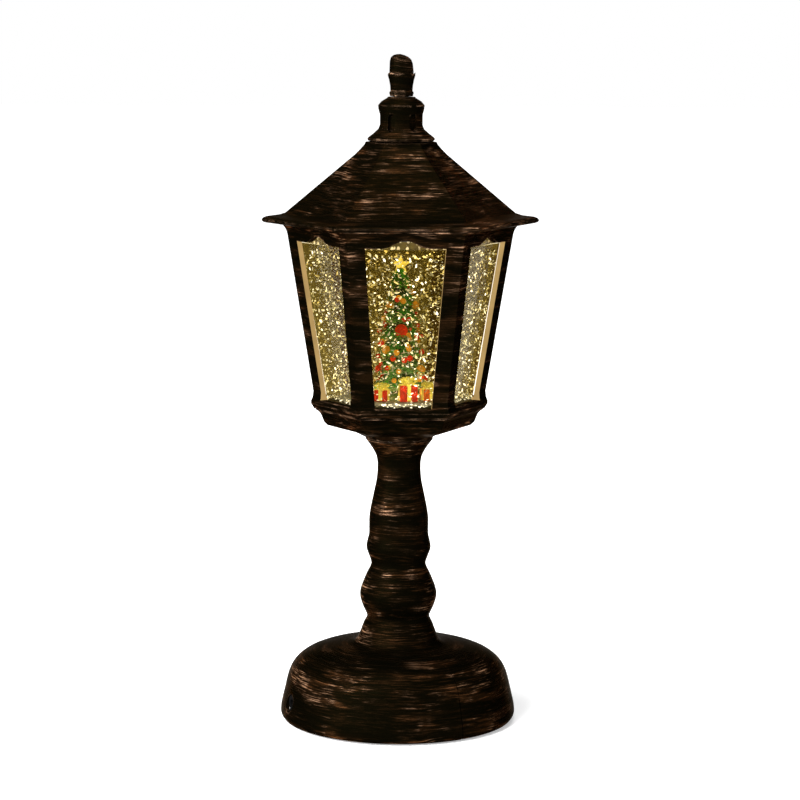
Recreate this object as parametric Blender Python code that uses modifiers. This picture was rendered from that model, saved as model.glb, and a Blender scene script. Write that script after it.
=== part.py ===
"""A table water lantern: a six-sided street lamp head with a lit, stirred tank, on a turned column.

Metres, +Z up. The origin is on the surface that the lantern stands on, under the middle of its foot.
A corner of the six-sided head points to +X, and one of its flat sides faces the viewer at -Y.
"""

import bmesh
import bpy
from math import cos, hypot, pi, radians, sin, sqrt
from mathutils import Matrix, Vector

# Heights of the pieces that stack up over the domed foot
FOOT_CLEARANCE = 0.0008
COLUMN_HEIGHT = 0.0826
CUP_HEIGHT = 0.0115
FRAME_HEIGHT = 0.0740
ROOF_HEIGHT = 0.0324
CAP_HEIGHT = 0.0173
FINIAL_HEIGHT = 0.0165

# Fits, and how finely round shapes are divided
FIT = 0.0003
OVERRUN = 0.002
ROUND_STEPS = 36
MEDIUM_STEPS = 24
SMALL_STEPS = 20
TINY_STEPS = 12
WIRE_STEPS = 8
ARC_STEPS = 6
OUTLINE_STEPS = 2

# Six-sided head, sizes across its corners given as radii
SIDES = 6
FRAME_TOP_RADIUS = 0.0450
FRAME_BOTTOM_RADIUS = 0.0346
SILL_OVERHANG = 0.0009
CORNICE_OVERHANG = 0.0022
FRAME_WALL = 0.0022

# Windows: what is left of each side around them, and the arch that swings up between their shoulders
WINDOW_SILL = 0.0040
WINDOW_HEAD = 0.0064
WINDOW_TOP_JAMB = 0.0068
WINDOW_BOTTOM_JAMB = 0.0062
WINDOW_SHOULDER = 0.0064
ARCH_RISE = 0.0031

# Roof
EAVE_OVERHANG = 0.0009
BRIM_OVERHANG = 0.0095
ROOF_TOP_RADIUS = 0.0141
ROOF_WALL = 0.0020
ROOF_NECK_WALL = 0.0015
ROOF_SKIRT = 0.0012
ROOF_SKIRT_WALL = 0.0013

# Vent cap
HOOD_RADIUS = 0.0092
DRUM_RADIUS = 0.0086
CAP_RING_RADIUS = 0.0134
CAP_TOP_RADIUS = 0.0054
CAP_WALL = 0.0026
CAP_SPIGOT = 0.0034
CAP_SPIGOT_WALL = 0.0014
CAP_CROWN = 0.0018
VENT_COUNT = 6
VENT_WIDTH = 0.0031
VENT_HEIGHT = 0.0070
VENT_SILL = 0.0038
VENT_DEPTH = 0.0014

# Finial: a bud in a cup of petals on a ringed neck
BUD_RADIUS = 0.0047
PETAL_RADIUS = 0.0055
FINIAL_NECK_RADIUS = 0.0043
FINIAL_RING_RADIUS = 0.0048
PETAL_COUNT = 5
PETAL_WAVE = 0.0004
BUD_FOLD_COUNT = 3
BUD_LEAN = 0.0005
BUD_TILT_SHARE = 0.12
BUD_SWELL_SHARE = 0.06
STUD_RADIUS = 0.0016
STUD_LENGTH = 0.0030

# Turned column
CAPITAL_RADIUS = 0.0136
NECK_RADIUS = 0.0087
BELLY_RADIUS = 0.0120
BEAD_RADIUS = 0.0130
WAIST_RADIUS = 0.0110
BULB_RADIUS = 0.0155
ANKLE_RADIUS = 0.0126
FLARE_RADIUS = 0.0152
POST_WALL = 0.0020
SEAM_AZIMUTH = radians(-60)
SPIGOT_RADIUS = 0.0092
SPIGOT_WALL = 0.0012
SPIGOT_HEIGHT = 0.0030
COLLAR_SHARE = 0.2

# Battery bay, which the foot is built around
CELL_COUNT = 3
CELL_RADIUS = 0.00705
CELL_LENGTH = 0.0493
CELL_BUTTON_RADIUS = 0.0027
CELL_BUTTON_HEIGHT = 0.0012
CELL_LIFT = 0.0013
SPRING_LENGTH = 0.0044
SPRING_RADIUS = 0.0032
SPRING_TIP_RADIUS = 0.0022
SPRING_WIRE = 0.00035
SPRING_TURNS = 4
CONTACT_THICKNESS = 0.0005
CONTACT_HEIGHT = 0.0100
BAY_WALL = 0.0014
SADDLE_THICKNESS = 0.0012
SADDLE_PLACE_SHARE = 0.52

# Battery door
DOOR_THICKNESS = 0.0015
DOOR_RIB = 0.0010
DOOR_RIB_COUNT = 3
HINGE_RADIUS = 0.0012
HINGE_PIN_RADIUS = 0.0005
HINGE_PIN_LENGTH = 0.0010
TONGUE_WIDTH = 0.0120
TONGUE_THICKNESS = 0.0010

# Base plate, its screws and rubber feet
DOME_MARGIN = 0.0093
PLATE_THICKNESS = 0.0018
SCREW_INSET = 0.0082
SCREW_RADIUS = 0.0011
SCREW_HEAD_RADIUS = 0.0022
SCREW_HEAD_HEIGHT = 0.0009
SCREW_LENGTH = 0.0090
SCREW_AZIMUTHS = (radians(72), radians(150), radians(250), radians(330))
BOSS_RADIUS = 0.0030
BOSS_TOP_SHARE = 0.64
FOOT_COUNT = 4
FOOT_FIRST_AZIMUTH = radians(15)
FOOT_INSET = 0.0089
FOOT_RADIUS = 0.0035
FOOT_RECESS = 0.0006

# Slide switch
SWITCH_INSET = 0.0137
SWITCH_LENGTH = 0.0130
SWITCH_WIDTH = 0.0064
SWITCH_HEIGHT = 0.0046
SWITCH_POCKET_DEPTH = 0.0026
SWITCH_POCKET_MARGIN = 0.0022
SWITCH_POCKET_WALL = 0.0012
SWITCH_TRAVEL = 0.0020
SLIDER_LENGTH = 0.0034
SLIDER_WIDTH = 0.0028
SLIDER_GRIP = 0.0022

# Power jack
JACK_AZIMUTH = radians(198.4)
JACK_HEIGHT = 0.0092
JACK_BODY = 0.0080
JACK_LENGTH = 0.0100
JACK_NOSE_RADIUS = 0.0034
JACK_NOSE_LENGTH = 0.0026
JACK_SETBACK = 0.0019
JACK_BORE_RADIUS = 0.00185
JACK_BORE_DEPTH = 0.0080
JACK_PIN_RADIUS = 0.00065
CRADLE_SHARE = 0.6

# Control board and wiring
BOARD_LENGTH = 0.0340
BOARD_WIDTH = 0.0220
BOARD_THICKNESS = 0.0012
HEADER_SIZE = (0.0060, 0.0046, 0.0040)
HEADER_PLACE_SHARES = (0.32, 0.18)
CHIP_SIZE = (0.0050, 0.0040, 0.0011)
CHIP_PLACE_SHARES = (0.06, -0.22)
CAPACITOR_RADIUS = 0.0025
CAPACITOR_HEIGHT = 0.0050
CAPACITOR_PLACE_SHARES = (-0.30, 0.20)
DOME_HEADROOM = 0.0060
HARNESS_RADIUS = 0.0012

# Motor, magnet and lights
MOTOR_RADIUS = 0.0050
MOTOR_LENGTH = 0.0112
SHAFT_RADIUS = 0.0006
SHAFT_DEPTH = 0.0030
MAGNET_RADIUS = 0.0072
MAGNET_THICKNESS = 0.0016
MAGNET_LIFT = 0.0004
MAGNET_ROOM = 0.0014
HOLDER_WALL = 0.0012
HOLDER_SLEEVE = 0.0070
HOLDER_FLANGE = 0.0010
CUP_FLOOR = 0.0030
LED_BOARD_THICKNESS = 0.0010
LED_SIZE = 0.0030
LED_HEIGHT = 0.0008
LED_PLACE_SHARE = 0.63

# Tank and its lid
TANK_WALL = 0.0018
TANK_CUP_GAP = 0.0006
TANK_CHAMFER_RUN = 0.0040
TANK_BOTTOM_CHAMFER = 0.0047
TANK_FLOOR_SHARE = 0.7
TANK_TOP_DROP = 0.0042
TANK_LEDGE = 0.0014
LID_THICKNESS = 0.0016
LID_RIM = 0.0030
SEAL_WIDTH = 0.0016
SEAL_HEIGHT = 0.0008
PLUG_RADIUS = 0.0035
PLUG_DEPTH = 0.0040
PLUG_HEAD = 0.0012
PLUG_HEAD_RADIUS = 0.0050

# Impeller under the scene
IMPELLER_RADIUS = 0.0135
IMPELLER_HUB_RADIUS = 0.0068
IMPELLER_HUB_HEIGHT = 0.0034
IMPELLER_BLADE_THICKNESS = 0.0010
IMPELLER_BLADE_HEIGHT = 0.0030
IMPELLER_BLADE_COUNT = 6
IMPELLER_LIFT = 0.0004
PIN_RADIUS = 0.0008

# Snow that the scene stands on
SCENE_PLATE_THICKNESS = 0.0012
SCENE_PLATE_LIFT = 0.0072
FLOW_HOLE_RADIUS = 0.0020
FLOW_HOLE_INSET = 0.0037
MOUND_INSET = 0.0017
MOUND_HEIGHT = 0.0036
MOUND_BEVEL_SHARE = 0.94
TERRACE_HEIGHT = 0.0014
HEAP_RADIUS = 0.0095

# Tree
TREE_TOP_DROP = 0.0179
TREE_SHELF = 0.0097
TREE_TOP_RADIUS = 0.0008
TREE_TIER_COUNT = 6
TREE_POINT_COUNT = 11
TREE_VALLEY_SHARE = 0.70
TREE_NECK_SHARE = 0.54
TREE_UNDER_SHARE = 0.42
TREE_DROOP_SHARE = 0.22
TREE_HOLLOW_SHARE = 1.5
TREE_TIER_TWIST = radians(13)
TRUNK_RADIUS = 0.0019
TRUNK_HEIGHT = 0.0016
TRUNK_SOCKET = 0.0018
STAR_RADIUS = 0.0040
STAR_INNER_SHARE = 0.42
STAR_THICKNESS = 0.0020
STAR_POINT_COUNT = 5

# Baubles: tier counted from the top, valley between two points of that tier, radius, finish
BAUBLES = (
    (2, -4, 0.0027, "bauble_red"),
    (3, -6, 0.0018, "bauble_gold"),
    (4, -3, 0.0019, "bauble_gold"),
    (4, -7, 0.0017, "bauble_red"),
    (3, 0, 0.0020, "bauble_red"),
    (4, 2, 0.0019, "bauble_gold"),
)
BAUBLE_REACH_SHARE = 0.86

# Gifts: way along the mound's rim from its front, distance in from the rim, size, turn, finish of the box
GIFTS = (
    (0.0024, 0.0055, (0.0070, 0.0062, 0.0064), radians(6), "gift_red"),
    (-0.0081, 0.0054, (0.0052, 0.0050, 0.0044), radians(-18), "gift_red"),
    (0.0116, 0.0050, (0.0056, 0.0050, 0.0046), radians(24), "gift_orange"),
)
RIBBON_WIDTH = 0.0014
RIBBON_THICKNESS = 0.0004
BOW_RADIUS = 0.0011

# Finish of each material: colour, roughness, metallic
FINISHES = {
    "bronze_plastic": ((0.045, 0.028, 0.018), 0.42, 0.35),
    "dark_plastic": ((0.018, 0.016, 0.015), 0.55, 0.0),
    "clear_acrylic": ((0.90, 0.86, 0.74), 0.05, 0.0),
    "white_plastic": ((0.80, 0.80, 0.78), 0.50, 0.0),
    "snow_plastic": ((0.88, 0.88, 0.86), 0.70, 0.0),
    "tree_green": ((0.03, 0.20, 0.05), 0.60, 0.0),
    "trunk_brown": ((0.16, 0.08, 0.04), 0.70, 0.0),
    "star_yellow": ((0.85, 0.62, 0.08), 0.35, 0.2),
    "bauble_red": ((0.70, 0.04, 0.03), 0.25, 0.0),
    "bauble_gold": ((0.80, 0.42, 0.08), 0.30, 0.3),
    "gift_red": ((0.60, 0.03, 0.04), 0.45, 0.0),
    "gift_orange": ((0.78, 0.16, 0.04), 0.45, 0.0),
    "ribbon_yellow": ((0.88, 0.68, 0.10), 0.45, 0.0),
    "rubber": ((0.02, 0.02, 0.02), 0.85, 0.0),
    "steel": ((0.62, 0.62, 0.62), 0.30, 1.0),
    "board_green": ((0.02, 0.14, 0.06), 0.45, 0.0),
    "cell_sleeve": ((0.10, 0.11, 0.12), 0.35, 0.2),
    "wire_black": ((0.015, 0.015, 0.015), 0.55, 0.0),
    "magnet_grey": ((0.20, 0.20, 0.21), 0.40, 0.8),
}

# Sizes of the foot, which follow from the batteries and the board
CELL_PITCH = 2 * (CELL_RADIUS + FIT)
CELL_LEVEL = FOOT_CLEARANCE + DOOR_THICKNESS + CELL_LIFT + CELL_RADIUS
CONTACT_REACH = (CELL_LENGTH + CELL_BUTTON_HEIGHT + SPRING_LENGTH + 3 * FIT) / 2
BAY_HALF_WIDTH = CELL_PITCH * CELL_COUNT / 2
BAY_HALF_LENGTH = CONTACT_REACH + CONTACT_THICKNESS + FIT
BAY_TOP = CELL_LEVEL + CELL_RADIUS + 2 * FIT
BOARD_LEVEL = BAY_TOP + BAY_WALL + FIT
DOME_RADIUS = hypot(BAY_HALF_WIDTH + BAY_WALL, BAY_HALF_LENGTH + BAY_WALL) + DOME_MARGIN
DOME_HEIGHT = BOARD_LEVEL + BOARD_THICKNESS + CAPACITOR_HEIGHT + DOME_HEADROOM
SCREW_CIRCLE = DOME_RADIUS - SCREW_INSET
FOOT_CIRCLE = DOME_RADIUS - FOOT_INSET
SWITCH_X = DOME_RADIUS - SWITCH_INSET
POCKET_HALF_WIDTH = SLIDER_WIDTH / 2 + SWITCH_POCKET_MARGIN
POCKET_HALF_LENGTH = SLIDER_LENGTH / 2 + SWITCH_TRAVEL + SWITCH_POCKET_MARGIN
SLOT_HALF_WIDTH = SLIDER_WIDTH / 2 + FIT
SLOT_HALF_LENGTH = SLIDER_LENGTH / 2 + SWITCH_TRAVEL + FIT
POCKET_TOP = FOOT_CLEARANCE + SWITCH_POCKET_DEPTH
HINGE_Y = BAY_HALF_LENGTH - FIT - HINGE_RADIUS
HINGE_Z = FOOT_CLEARANCE + HINGE_RADIUS
JACK_HOLE_RADIUS = JACK_NOSE_RADIUS + FIT
PLATE_TOP = FOOT_CLEARANCE + PLATE_THICKNESS

# Levels of the stack
COLUMN_TOP = DOME_HEIGHT + COLUMN_HEIGHT
CUP_BOTTOM = COLUMN_TOP + FIT
CUP_ROOM = CUP_HEIGHT - CUP_FLOOR
HOLDER_LEVEL = CUP_BOTTOM + CUP_FLOOR + FIT
HOLDER_TOP = HOLDER_LEVEL + HOLDER_FLANGE
FRAME_BOTTOM = CUP_BOTTOM + CUP_HEIGHT + FIT
FRAME_TOP = FRAME_BOTTOM + FRAME_HEIGHT
ROOF_BOTTOM = FRAME_TOP + FIT
ROOF_TOP = ROOF_BOTTOM + ROOF_HEIGHT
CAP_BOTTOM = ROOF_TOP + FIT
CAP_TOP = CAP_BOTTOM + CAP_HEIGHT
FINIAL_BOTTOM = CAP_TOP + FIT

# Sizes of the head, which follow from its frame
APOTHEM_SHARE = cos(pi / SIDES)
SILL_RADIUS = FRAME_BOTTOM_RADIUS + SILL_OVERHANG
CORNICE_RADIUS = FRAME_TOP_RADIUS + CORNICE_OVERHANG
EAVE_RADIUS = FRAME_TOP_RADIUS + EAVE_OVERHANG
BRIM_RADIUS = EAVE_RADIUS + BRIM_OVERHANG
ROOF_NECK_RADIUS = ROOF_TOP_RADIUS - ROOF_NECK_WALL
WINDOW_TOP_WIDTH = FRAME_TOP_RADIUS - 2 * WINDOW_TOP_JAMB
WINDOW_BOTTOM_WIDTH = FRAME_BOTTOM_RADIUS - 2 * WINDOW_BOTTOM_JAMB
ARCH_WIDTH = WINDOW_TOP_WIDTH - 2 * WINDOW_SHOULDER

# Levels inside the head
TANK_BOTTOM = HOLDER_TOP + FIT + LED_BOARD_THICKNESS + LED_HEIGHT + FIT
TANK_SIDE = TANK_BOTTOM + TANK_BOTTOM_CHAMFER
TANK_FLOOR = TANK_BOTTOM + TANK_WALL
TANK_SHELF = TANK_BOTTOM + SCENE_PLATE_LIFT
TANK_RIM = FRAME_TOP - TANK_TOP_DROP
PLATE_LEVEL = TANK_SHELF + FIT
MOUND_LEVEL = PLATE_LEVEL + SCENE_PLATE_THICKNESS + FIT
TERRACE_LEVEL = MOUND_LEVEL + TERRACE_HEIGHT
MOUND_TOP = MOUND_LEVEL + MOUND_HEIGHT
TREE_FOOT = MOUND_TOP + TRUNK_HEIGHT
TREE_TOP = FRAME_TOP - TREE_TOP_DROP
TREE_STEP = (TREE_TOP - TREE_FOOT) / TREE_TIER_COUNT
TREE_SEAT = TREE_FOOT + TREE_STEP * TREE_DROOP_SHARE * TREE_HOLLOW_SHARE

parts = bpy.data.collections.new("water_lantern")
cutters = bpy.data.collections.new("cutters")


def clear_scene():
    for obj in list(bpy.data.objects):
        bpy.data.objects.remove(obj, do_unlink=True)
    bpy.context.scene.collection.children.link(parts)
    bpy.context.scene.collection.children.link(cutters)


def finish(obj, name):
    """Gives the object its own material, in the named finish."""
    colour, roughness, metallic = FINISHES[name]
    material = bpy.data.materials.new(obj.name + "_" + name)
    material.use_nodes = True
    shader = material.node_tree.nodes["Principled BSDF"]
    shader.inputs["Base Color"].default_value = (*colour, 1)
    shader.inputs["Roughness"].default_value = roughness
    shader.inputs["Metallic"].default_value = metallic
    material.diffuse_color = (*colour, 1)
    obj.data.materials.clear()
    obj.data.materials.append(material)


def add(name, mesh, finish_name=None):
    """Makes an object of the mesh: a part if it has a finish, a cutter if not."""
    obj = bpy.data.objects.new(name, mesh)
    if finish_name:
        parts.objects.link(obj)
        finish(obj, finish_name)
    else:
        cutters.objects.link(obj)
        obj.hide_render = True
        obj.display_type = "WIRE"
    return obj


def shade(obj, angle=radians(38)):
    obj.data.shade_smooth()
    obj.data.set_sharp_from_angle(angle=angle)
    return obj


def from_bmesh(name, shape, finish_name=None):
    mesh = bpy.data.meshes.new(name)
    shape.to_mesh(mesh)
    shape.free()
    return add(name, mesh, finish_name)


def turned(name, outline, finish_name=None, steps=ROUND_STEPS):
    """Turns an outline of (radius, level) about Z: down the outer side, and back up inside a ring."""
    mesh = bpy.data.meshes.new(name)
    edges = [(i, i + 1) for i in range(len(outline) - 1)]
    if outline[0][0] > 0:
        edges.append((len(outline) - 1, 0))
    mesh.from_pydata([(r, 0, z) for r, z in outline], edges, [])
    obj = add(name, mesh, finish_name)
    screw = obj.modifiers.new("Turn", "SCREW")
    screw.axis = "Z"
    screw.angle = 2 * pi
    screw.steps = screw.render_steps = steps
    screw.use_merge_vertices = True
    screw.merge_threshold = FIT / 100
    screw.use_smooth_shade = steps > SIDES
    return obj


def realise(obj):
    """Replaces the object's mesh by its evaluated one, so that it can be edited further."""
    bpy.context.view_layer.update()
    graph = bpy.context.evaluated_depsgraph_get()
    mesh = bpy.data.meshes.new_from_object(obj.evaluated_get(graph))
    materials = list(obj.data.materials)
    obj.modifiers.clear()
    obj.data = mesh
    obj.data.materials.clear()
    for material in materials:
        obj.data.materials.append(material)
    return obj


def round_edges(obj, width, segments=2, angle=radians(50)):
    bevel = obj.modifiers.new("Round edges", "BEVEL")
    bevel.width = width
    bevel.segments = segments
    bevel.limit_method = "ANGLE"
    bevel.angle_limit = angle
    return obj


def box(name, low, high, finish_name=None):
    """A box between two corners."""
    shape = bmesh.new()
    bmesh.ops.create_cube(shape, size=1)
    size = [b - a for a, b in zip(low, high)]
    middle = [(a + b) / 2 for a, b in zip(low, high)]
    bmesh.ops.scale(shape, vec=size, verts=shape.verts)
    bmesh.ops.translate(shape, vec=middle, verts=shape.verts)
    return from_bmesh(name, shape, finish_name)


def rod(name, radius, start, end, finish_name=None, steps=SMALL_STEPS, top_radius=None):
    """A cylinder or cone from one point to another."""
    start, end = Vector(start), Vector(end)
    along = end - start
    shape = bmesh.new()
    bmesh.ops.create_cone(
        shape,
        cap_ends=True,
        segments=steps,
        radius1=radius,
        radius2=radius if top_radius is None else top_radius,
        depth=along.length,
    )
    turn = along.to_track_quat("Z", "Y").to_matrix().to_4x4()
    bmesh.ops.transform(
        shape, matrix=Matrix.Translation((start + end) / 2) @ turn, verts=shape.verts
    )
    return from_bmesh(name, shape, finish_name)


def ball(name, radius, centre, finish_name=None, detail=2):
    shape = bmesh.new()
    bmesh.ops.create_icosphere(shape, subdivisions=detail, radius=radius)
    bmesh.ops.translate(shape, vec=centre, verts=shape.verts)
    return from_bmesh(name, shape, finish_name)


def boolean(obj, other, operation):
    step = obj.modifiers.new(operation.title() + " " + other.name, "BOOLEAN")
    step.operation = operation
    step.object = other
    step.solver = "EXACT"
    return obj


def cut(obj, *others):
    for other in others:
        boolean(obj, other, "DIFFERENCE")
    return obj


def join(obj, *others):
    for other in others:
        boolean(obj, other, "UNION")
    return obj


def turn_about_z(obj, angle):
    obj.data.transform(Matrix.Rotation(angle, 4, "Z"))
    return obj


def pivot(obj, place):
    """Puts the object's origin on its joint's axis, with its shape where it is."""
    obj.data.transform(Matrix.Translation(-Vector(place)))
    obj.location = place
    return obj


def on_circle(radius, azimuth, level):
    return Vector((radius * cos(azimuth), radius * sin(azimuth), level))


def between(low, high, share):
    return low + (high - low) * share


def smooth(points, per_span):
    """Points along a smooth curve through the given ones, spaced by the length of each chord."""
    path = [Vector(p) for p in points]
    stops = [0]
    for a, b in zip(path, path[1:]):
        stops.append(stops[-1] + sqrt((b - a).length))
    slopes = []
    for i in range(len(path)):
        a, b = max(i - 1, 0), min(i + 1, len(path) - 1)
        slopes.append((path[b] - path[a]) / (stops[b] - stops[a]))
    curve = []
    for i in range(len(path) - 1):
        span = stops[i + 1] - stops[i]
        for k in range(per_span):
            t = k / per_span
            curve.append(
                path[i] * (2 * t**3 - 3 * t**2 + 1)
                + slopes[i] * (span * (t**3 - 2 * t**2 + t))
                + path[i + 1] * (3 * t**2 - 2 * t**3)
                + slopes[i + 1] * (span * (t**3 - t**2))
            )
    curve.append(path[-1])
    return [tuple(p) for p in curve]


# Outline of the column, down from its capital: two of its radii, the share of the way from the first to
# the second, and the level as a share of the column's height
COLUMN_SHARES = (
    (NECK_RADIUS, CAPITAL_RADIUS, 1.00, 1.000),
    (NECK_RADIUS, CAPITAL_RADIUS, 0.48, 0.958),
    (NECK_RADIUS, CAPITAL_RADIUS, 0.10, 0.915),
    (NECK_RADIUS, CAPITAL_RADIUS, 0.00, 0.868),
    (NECK_RADIUS, BELLY_RADIUS, 0.10, 0.800),
    (NECK_RADIUS, BELLY_RADIUS, 0.60, 0.702),
    (NECK_RADIUS, BELLY_RADIUS, 0.97, 0.615),
    (NECK_RADIUS, BELLY_RADIUS, 1.00, 0.528),
    (WAIST_RADIUS, BEAD_RADIUS, 1.00, 0.462),
    (WAIST_RADIUS, BEAD_RADIUS, 0.00, 0.386),
    (WAIST_RADIUS, BULB_RADIUS, 0.33, 0.340),
    (WAIST_RADIUS, BULB_RADIUS, 0.86, 0.270),
    (WAIST_RADIUS, BULB_RADIUS, 1.00, 0.222),
    (ANKLE_RADIUS, BULB_RADIUS, 0.55, 0.168),
    (ANKLE_RADIUS, FLARE_RADIUS, 0.00, 0.122),
    (ANKLE_RADIUS, FLARE_RADIUS, 0.45, 0.090),
    (ANKLE_RADIUS, FLARE_RADIUS, 1.00, 0.044),
)
INNER_STEPS = 3

# Outline of the domed foot: shares of its radius and of its height, from the column out to the rim
DOME_SHARES = (
    (0.336, 1.058),
    (0.352, 1.006),
    (0.395, 0.968),
    (0.526, 0.936),
    (0.663, 0.896),
    (0.775, 0.838),
    (0.851, 0.764),
    (0.897, 0.688),
    (0.924, 0.612),
    (0.943, 0.528),
    (0.975, 0.323),
    (0.992, 0.215),
    (1.000, 0.140),
    (0.998, 0.075),
)
DOME_EDGE_SHARE = 0.975


def post_outline():
    column = []
    for narrow, wide, share, height_share in COLUMN_SHARES:
        column.append((between(narrow, wide, share), DOME_HEIGHT + COLUMN_HEIGHT * height_share, 0))
    column = [(r, z) for r, z, _ in smooth(column, OUTLINE_STEPS)]
    dome = [(DOME_RADIUS * r, DOME_HEIGHT * z) for r, z in DOME_SHARES]
    return column + dome + [(DOME_RADIUS * DOME_EDGE_SHARE, FOOT_CLEARANCE)]


def inward(outline, wall):
    """The outline moved in by the wall, square to itself."""
    moved = []
    for i, (r, z) in enumerate(outline):
        before, after = outline[max(i - 1, 0)], outline[min(i + 1, len(outline) - 1)]
        along = Vector((after[0] - before[0], after[1] - before[1])).normalized()
        moved.append((r + along.y * wall, z - along.x * wall))
    return moved


def half_space(name, side):
    """A cutter that covers the other half of the post, with half the seam's gap."""
    reach = DOME_RADIUS + OVERRUN
    top = COLUMN_TOP + SPIGOT_HEIGHT + OVERRUN
    cutter = box(name, (-reach, -FIT / 2, -OVERRUN), (reach, reach, top))
    if side < 0:
        turn_about_z(cutter, pi)
    return turn_about_z(cutter, SEAM_AZIMUTH)


def post_shell(name, side):
    """One half of the hollow column and foot. The halves are welded along a seam from top to bottom."""
    outer = post_outline()
    bore = SPIGOT_RADIUS - SPIGOT_WALL
    top = COLUMN_TOP + SPIGOT_HEIGHT
    inner = inward(outer, POST_WALL)
    inner = inner[2 * OUTLINE_STEPS : -1 : INNER_STEPS]
    ring = [(SPIGOT_RADIUS, top), (SPIGOT_RADIUS, COLUMN_TOP)] + outer
    ring.append((DOME_RADIUS * DOME_EDGE_SHARE - POST_WALL, FOOT_CLEARANCE))
    ring += reversed(inner)
    ring += [(bore, COLUMN_TOP - POST_WALL), (bore, top)]
    shell = turn_about_z(turned(name, ring, "bronze_plastic"), pi / ROUND_STEPS)
    for i, azimuth in enumerate(SCREW_AZIMUTHS):
        foot = on_circle(SCREW_CIRCLE, azimuth, PLATE_TOP + FIT)
        head = on_circle(SCREW_CIRCLE, azimuth, DOME_HEIGHT * BOSS_TOP_SHARE)
        join(shell, rod(f"{name} boss {i}", BOSS_RADIUS, foot, head, steps=TINY_STEPS))
        start = on_circle(SCREW_CIRCLE, azimuth, PLATE_TOP - OVERRUN)
        end = on_circle(SCREW_CIRCLE, azimuth, FOOT_CLEARANCE + SCREW_LENGTH + OVERRUN / 2)
        cut(shell, rod(f"{name} pilot {i}", SCREW_RADIUS + FIT, start, end, steps=WIRE_STEPS))
    start = on_circle(DOME_RADIUS - JACK_BODY, JACK_AZIMUTH, JACK_HEIGHT)
    end = on_circle(DOME_RADIUS + OVERRUN, JACK_AZIMUTH, JACK_HEIGHT)
    cut(shell, rod(name + " jack hole", JACK_HOLE_RADIUS, start, end, steps=MEDIUM_STEPS))
    cut(shell, half_space(name + " half", side))
    return shade(shell)


def cell_column(number):
    """Distance of a cell's axis from the middle of the bay."""
    return (number - (CELL_COUNT - 1) / 2) * CELL_PITCH


def hinge_line(reach):
    """Two points on the door's hinge, as far as reach to either side of the middle."""
    return (-reach, HINGE_Y, HINGE_Z), (reach, HINGE_Y, HINGE_Z)


def at_switch(half_width, half_length, low, high):
    """Corners of a box around the switch's place."""
    return (SWITCH_X - half_width, -half_length, low), (SWITCH_X + half_width, half_length, high)


def foot_azimuths():
    return [FOOT_FIRST_AZIMUTH + 2 * pi * i / FOOT_COUNT for i in range(FOOT_COUNT)]


def plate_pads(plate):
    """Adds what stands up from the plate: the bay's block, the switch's pocket and the jack's cradle."""
    x, y = BAY_HALF_WIDTH + BAY_WALL, BAY_HALF_LENGTH + BAY_WALL
    low = FOOT_CLEARANCE + FIT
    join(plate, box("bay block", (-x, -y, low), (x, y, BAY_TOP + BAY_WALL)))
    x, y = POCKET_HALF_WIDTH + SWITCH_POCKET_WALL, POCKET_HALF_LENGTH + SWITCH_POCKET_WALL
    join(plate, box("pocket block", *at_switch(x, y, low, POCKET_TOP + SWITCH_POCKET_WALL)))
    outer, y = DOME_RADIUS - JACK_BODY, JACK_BODY / 2
    inner, high = outer - JACK_LENGTH * CRADLE_SHARE, JACK_HEIGHT - JACK_BODY / 2 - FIT
    join(plate, turn_about_z(box("jack cradle", (inner, -y, low), (outer, y, high)), JACK_AZIMUTH))


def plate_rooms(plate):
    """Hollows out the bay, with saddles for the cells under its ceiling, and the switch's pocket."""
    x, y, low = BAY_HALF_WIDTH, BAY_HALF_LENGTH, FOOT_CLEARANCE - OVERRUN
    cut(plate, box("bay room", (-x, -y, low), (x, y, BAY_TOP)))
    cut(plate, box("pocket room", *at_switch(POCKET_HALF_WIDTH, POCKET_HALF_LENGTH, low, POCKET_TOP)))
    high = POCKET_TOP + OVERRUN
    cut(plate, box("slider slot", *at_switch(SLOT_HALF_WIDTH, SLOT_HALF_LENGTH, low, high)))
    x, high = BAY_HALF_WIDTH + BAY_WALL / 2, BAY_TOP + BAY_WALL / 2
    for side in (-1, 1):
        near = side * BAY_HALF_LENGTH * SADDLE_PLACE_SHARE - SADDLE_THICKNESS / 2
        far = near + SADDLE_THICKNESS
        join(plate, box(f"saddle {side}", (-x, near, CELL_LEVEL), (x, far, high)))
        for i in range(CELL_COUNT):
            start = (cell_column(i), near - OVERRUN / 2, CELL_LEVEL)
            end = (cell_column(i), far + OVERRUN / 2, CELL_LEVEL)
            cut(plate, rod(f"saddle {side} {i}", CELL_RADIUS + FIT, start, end, steps=MEDIUM_STEPS))


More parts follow.
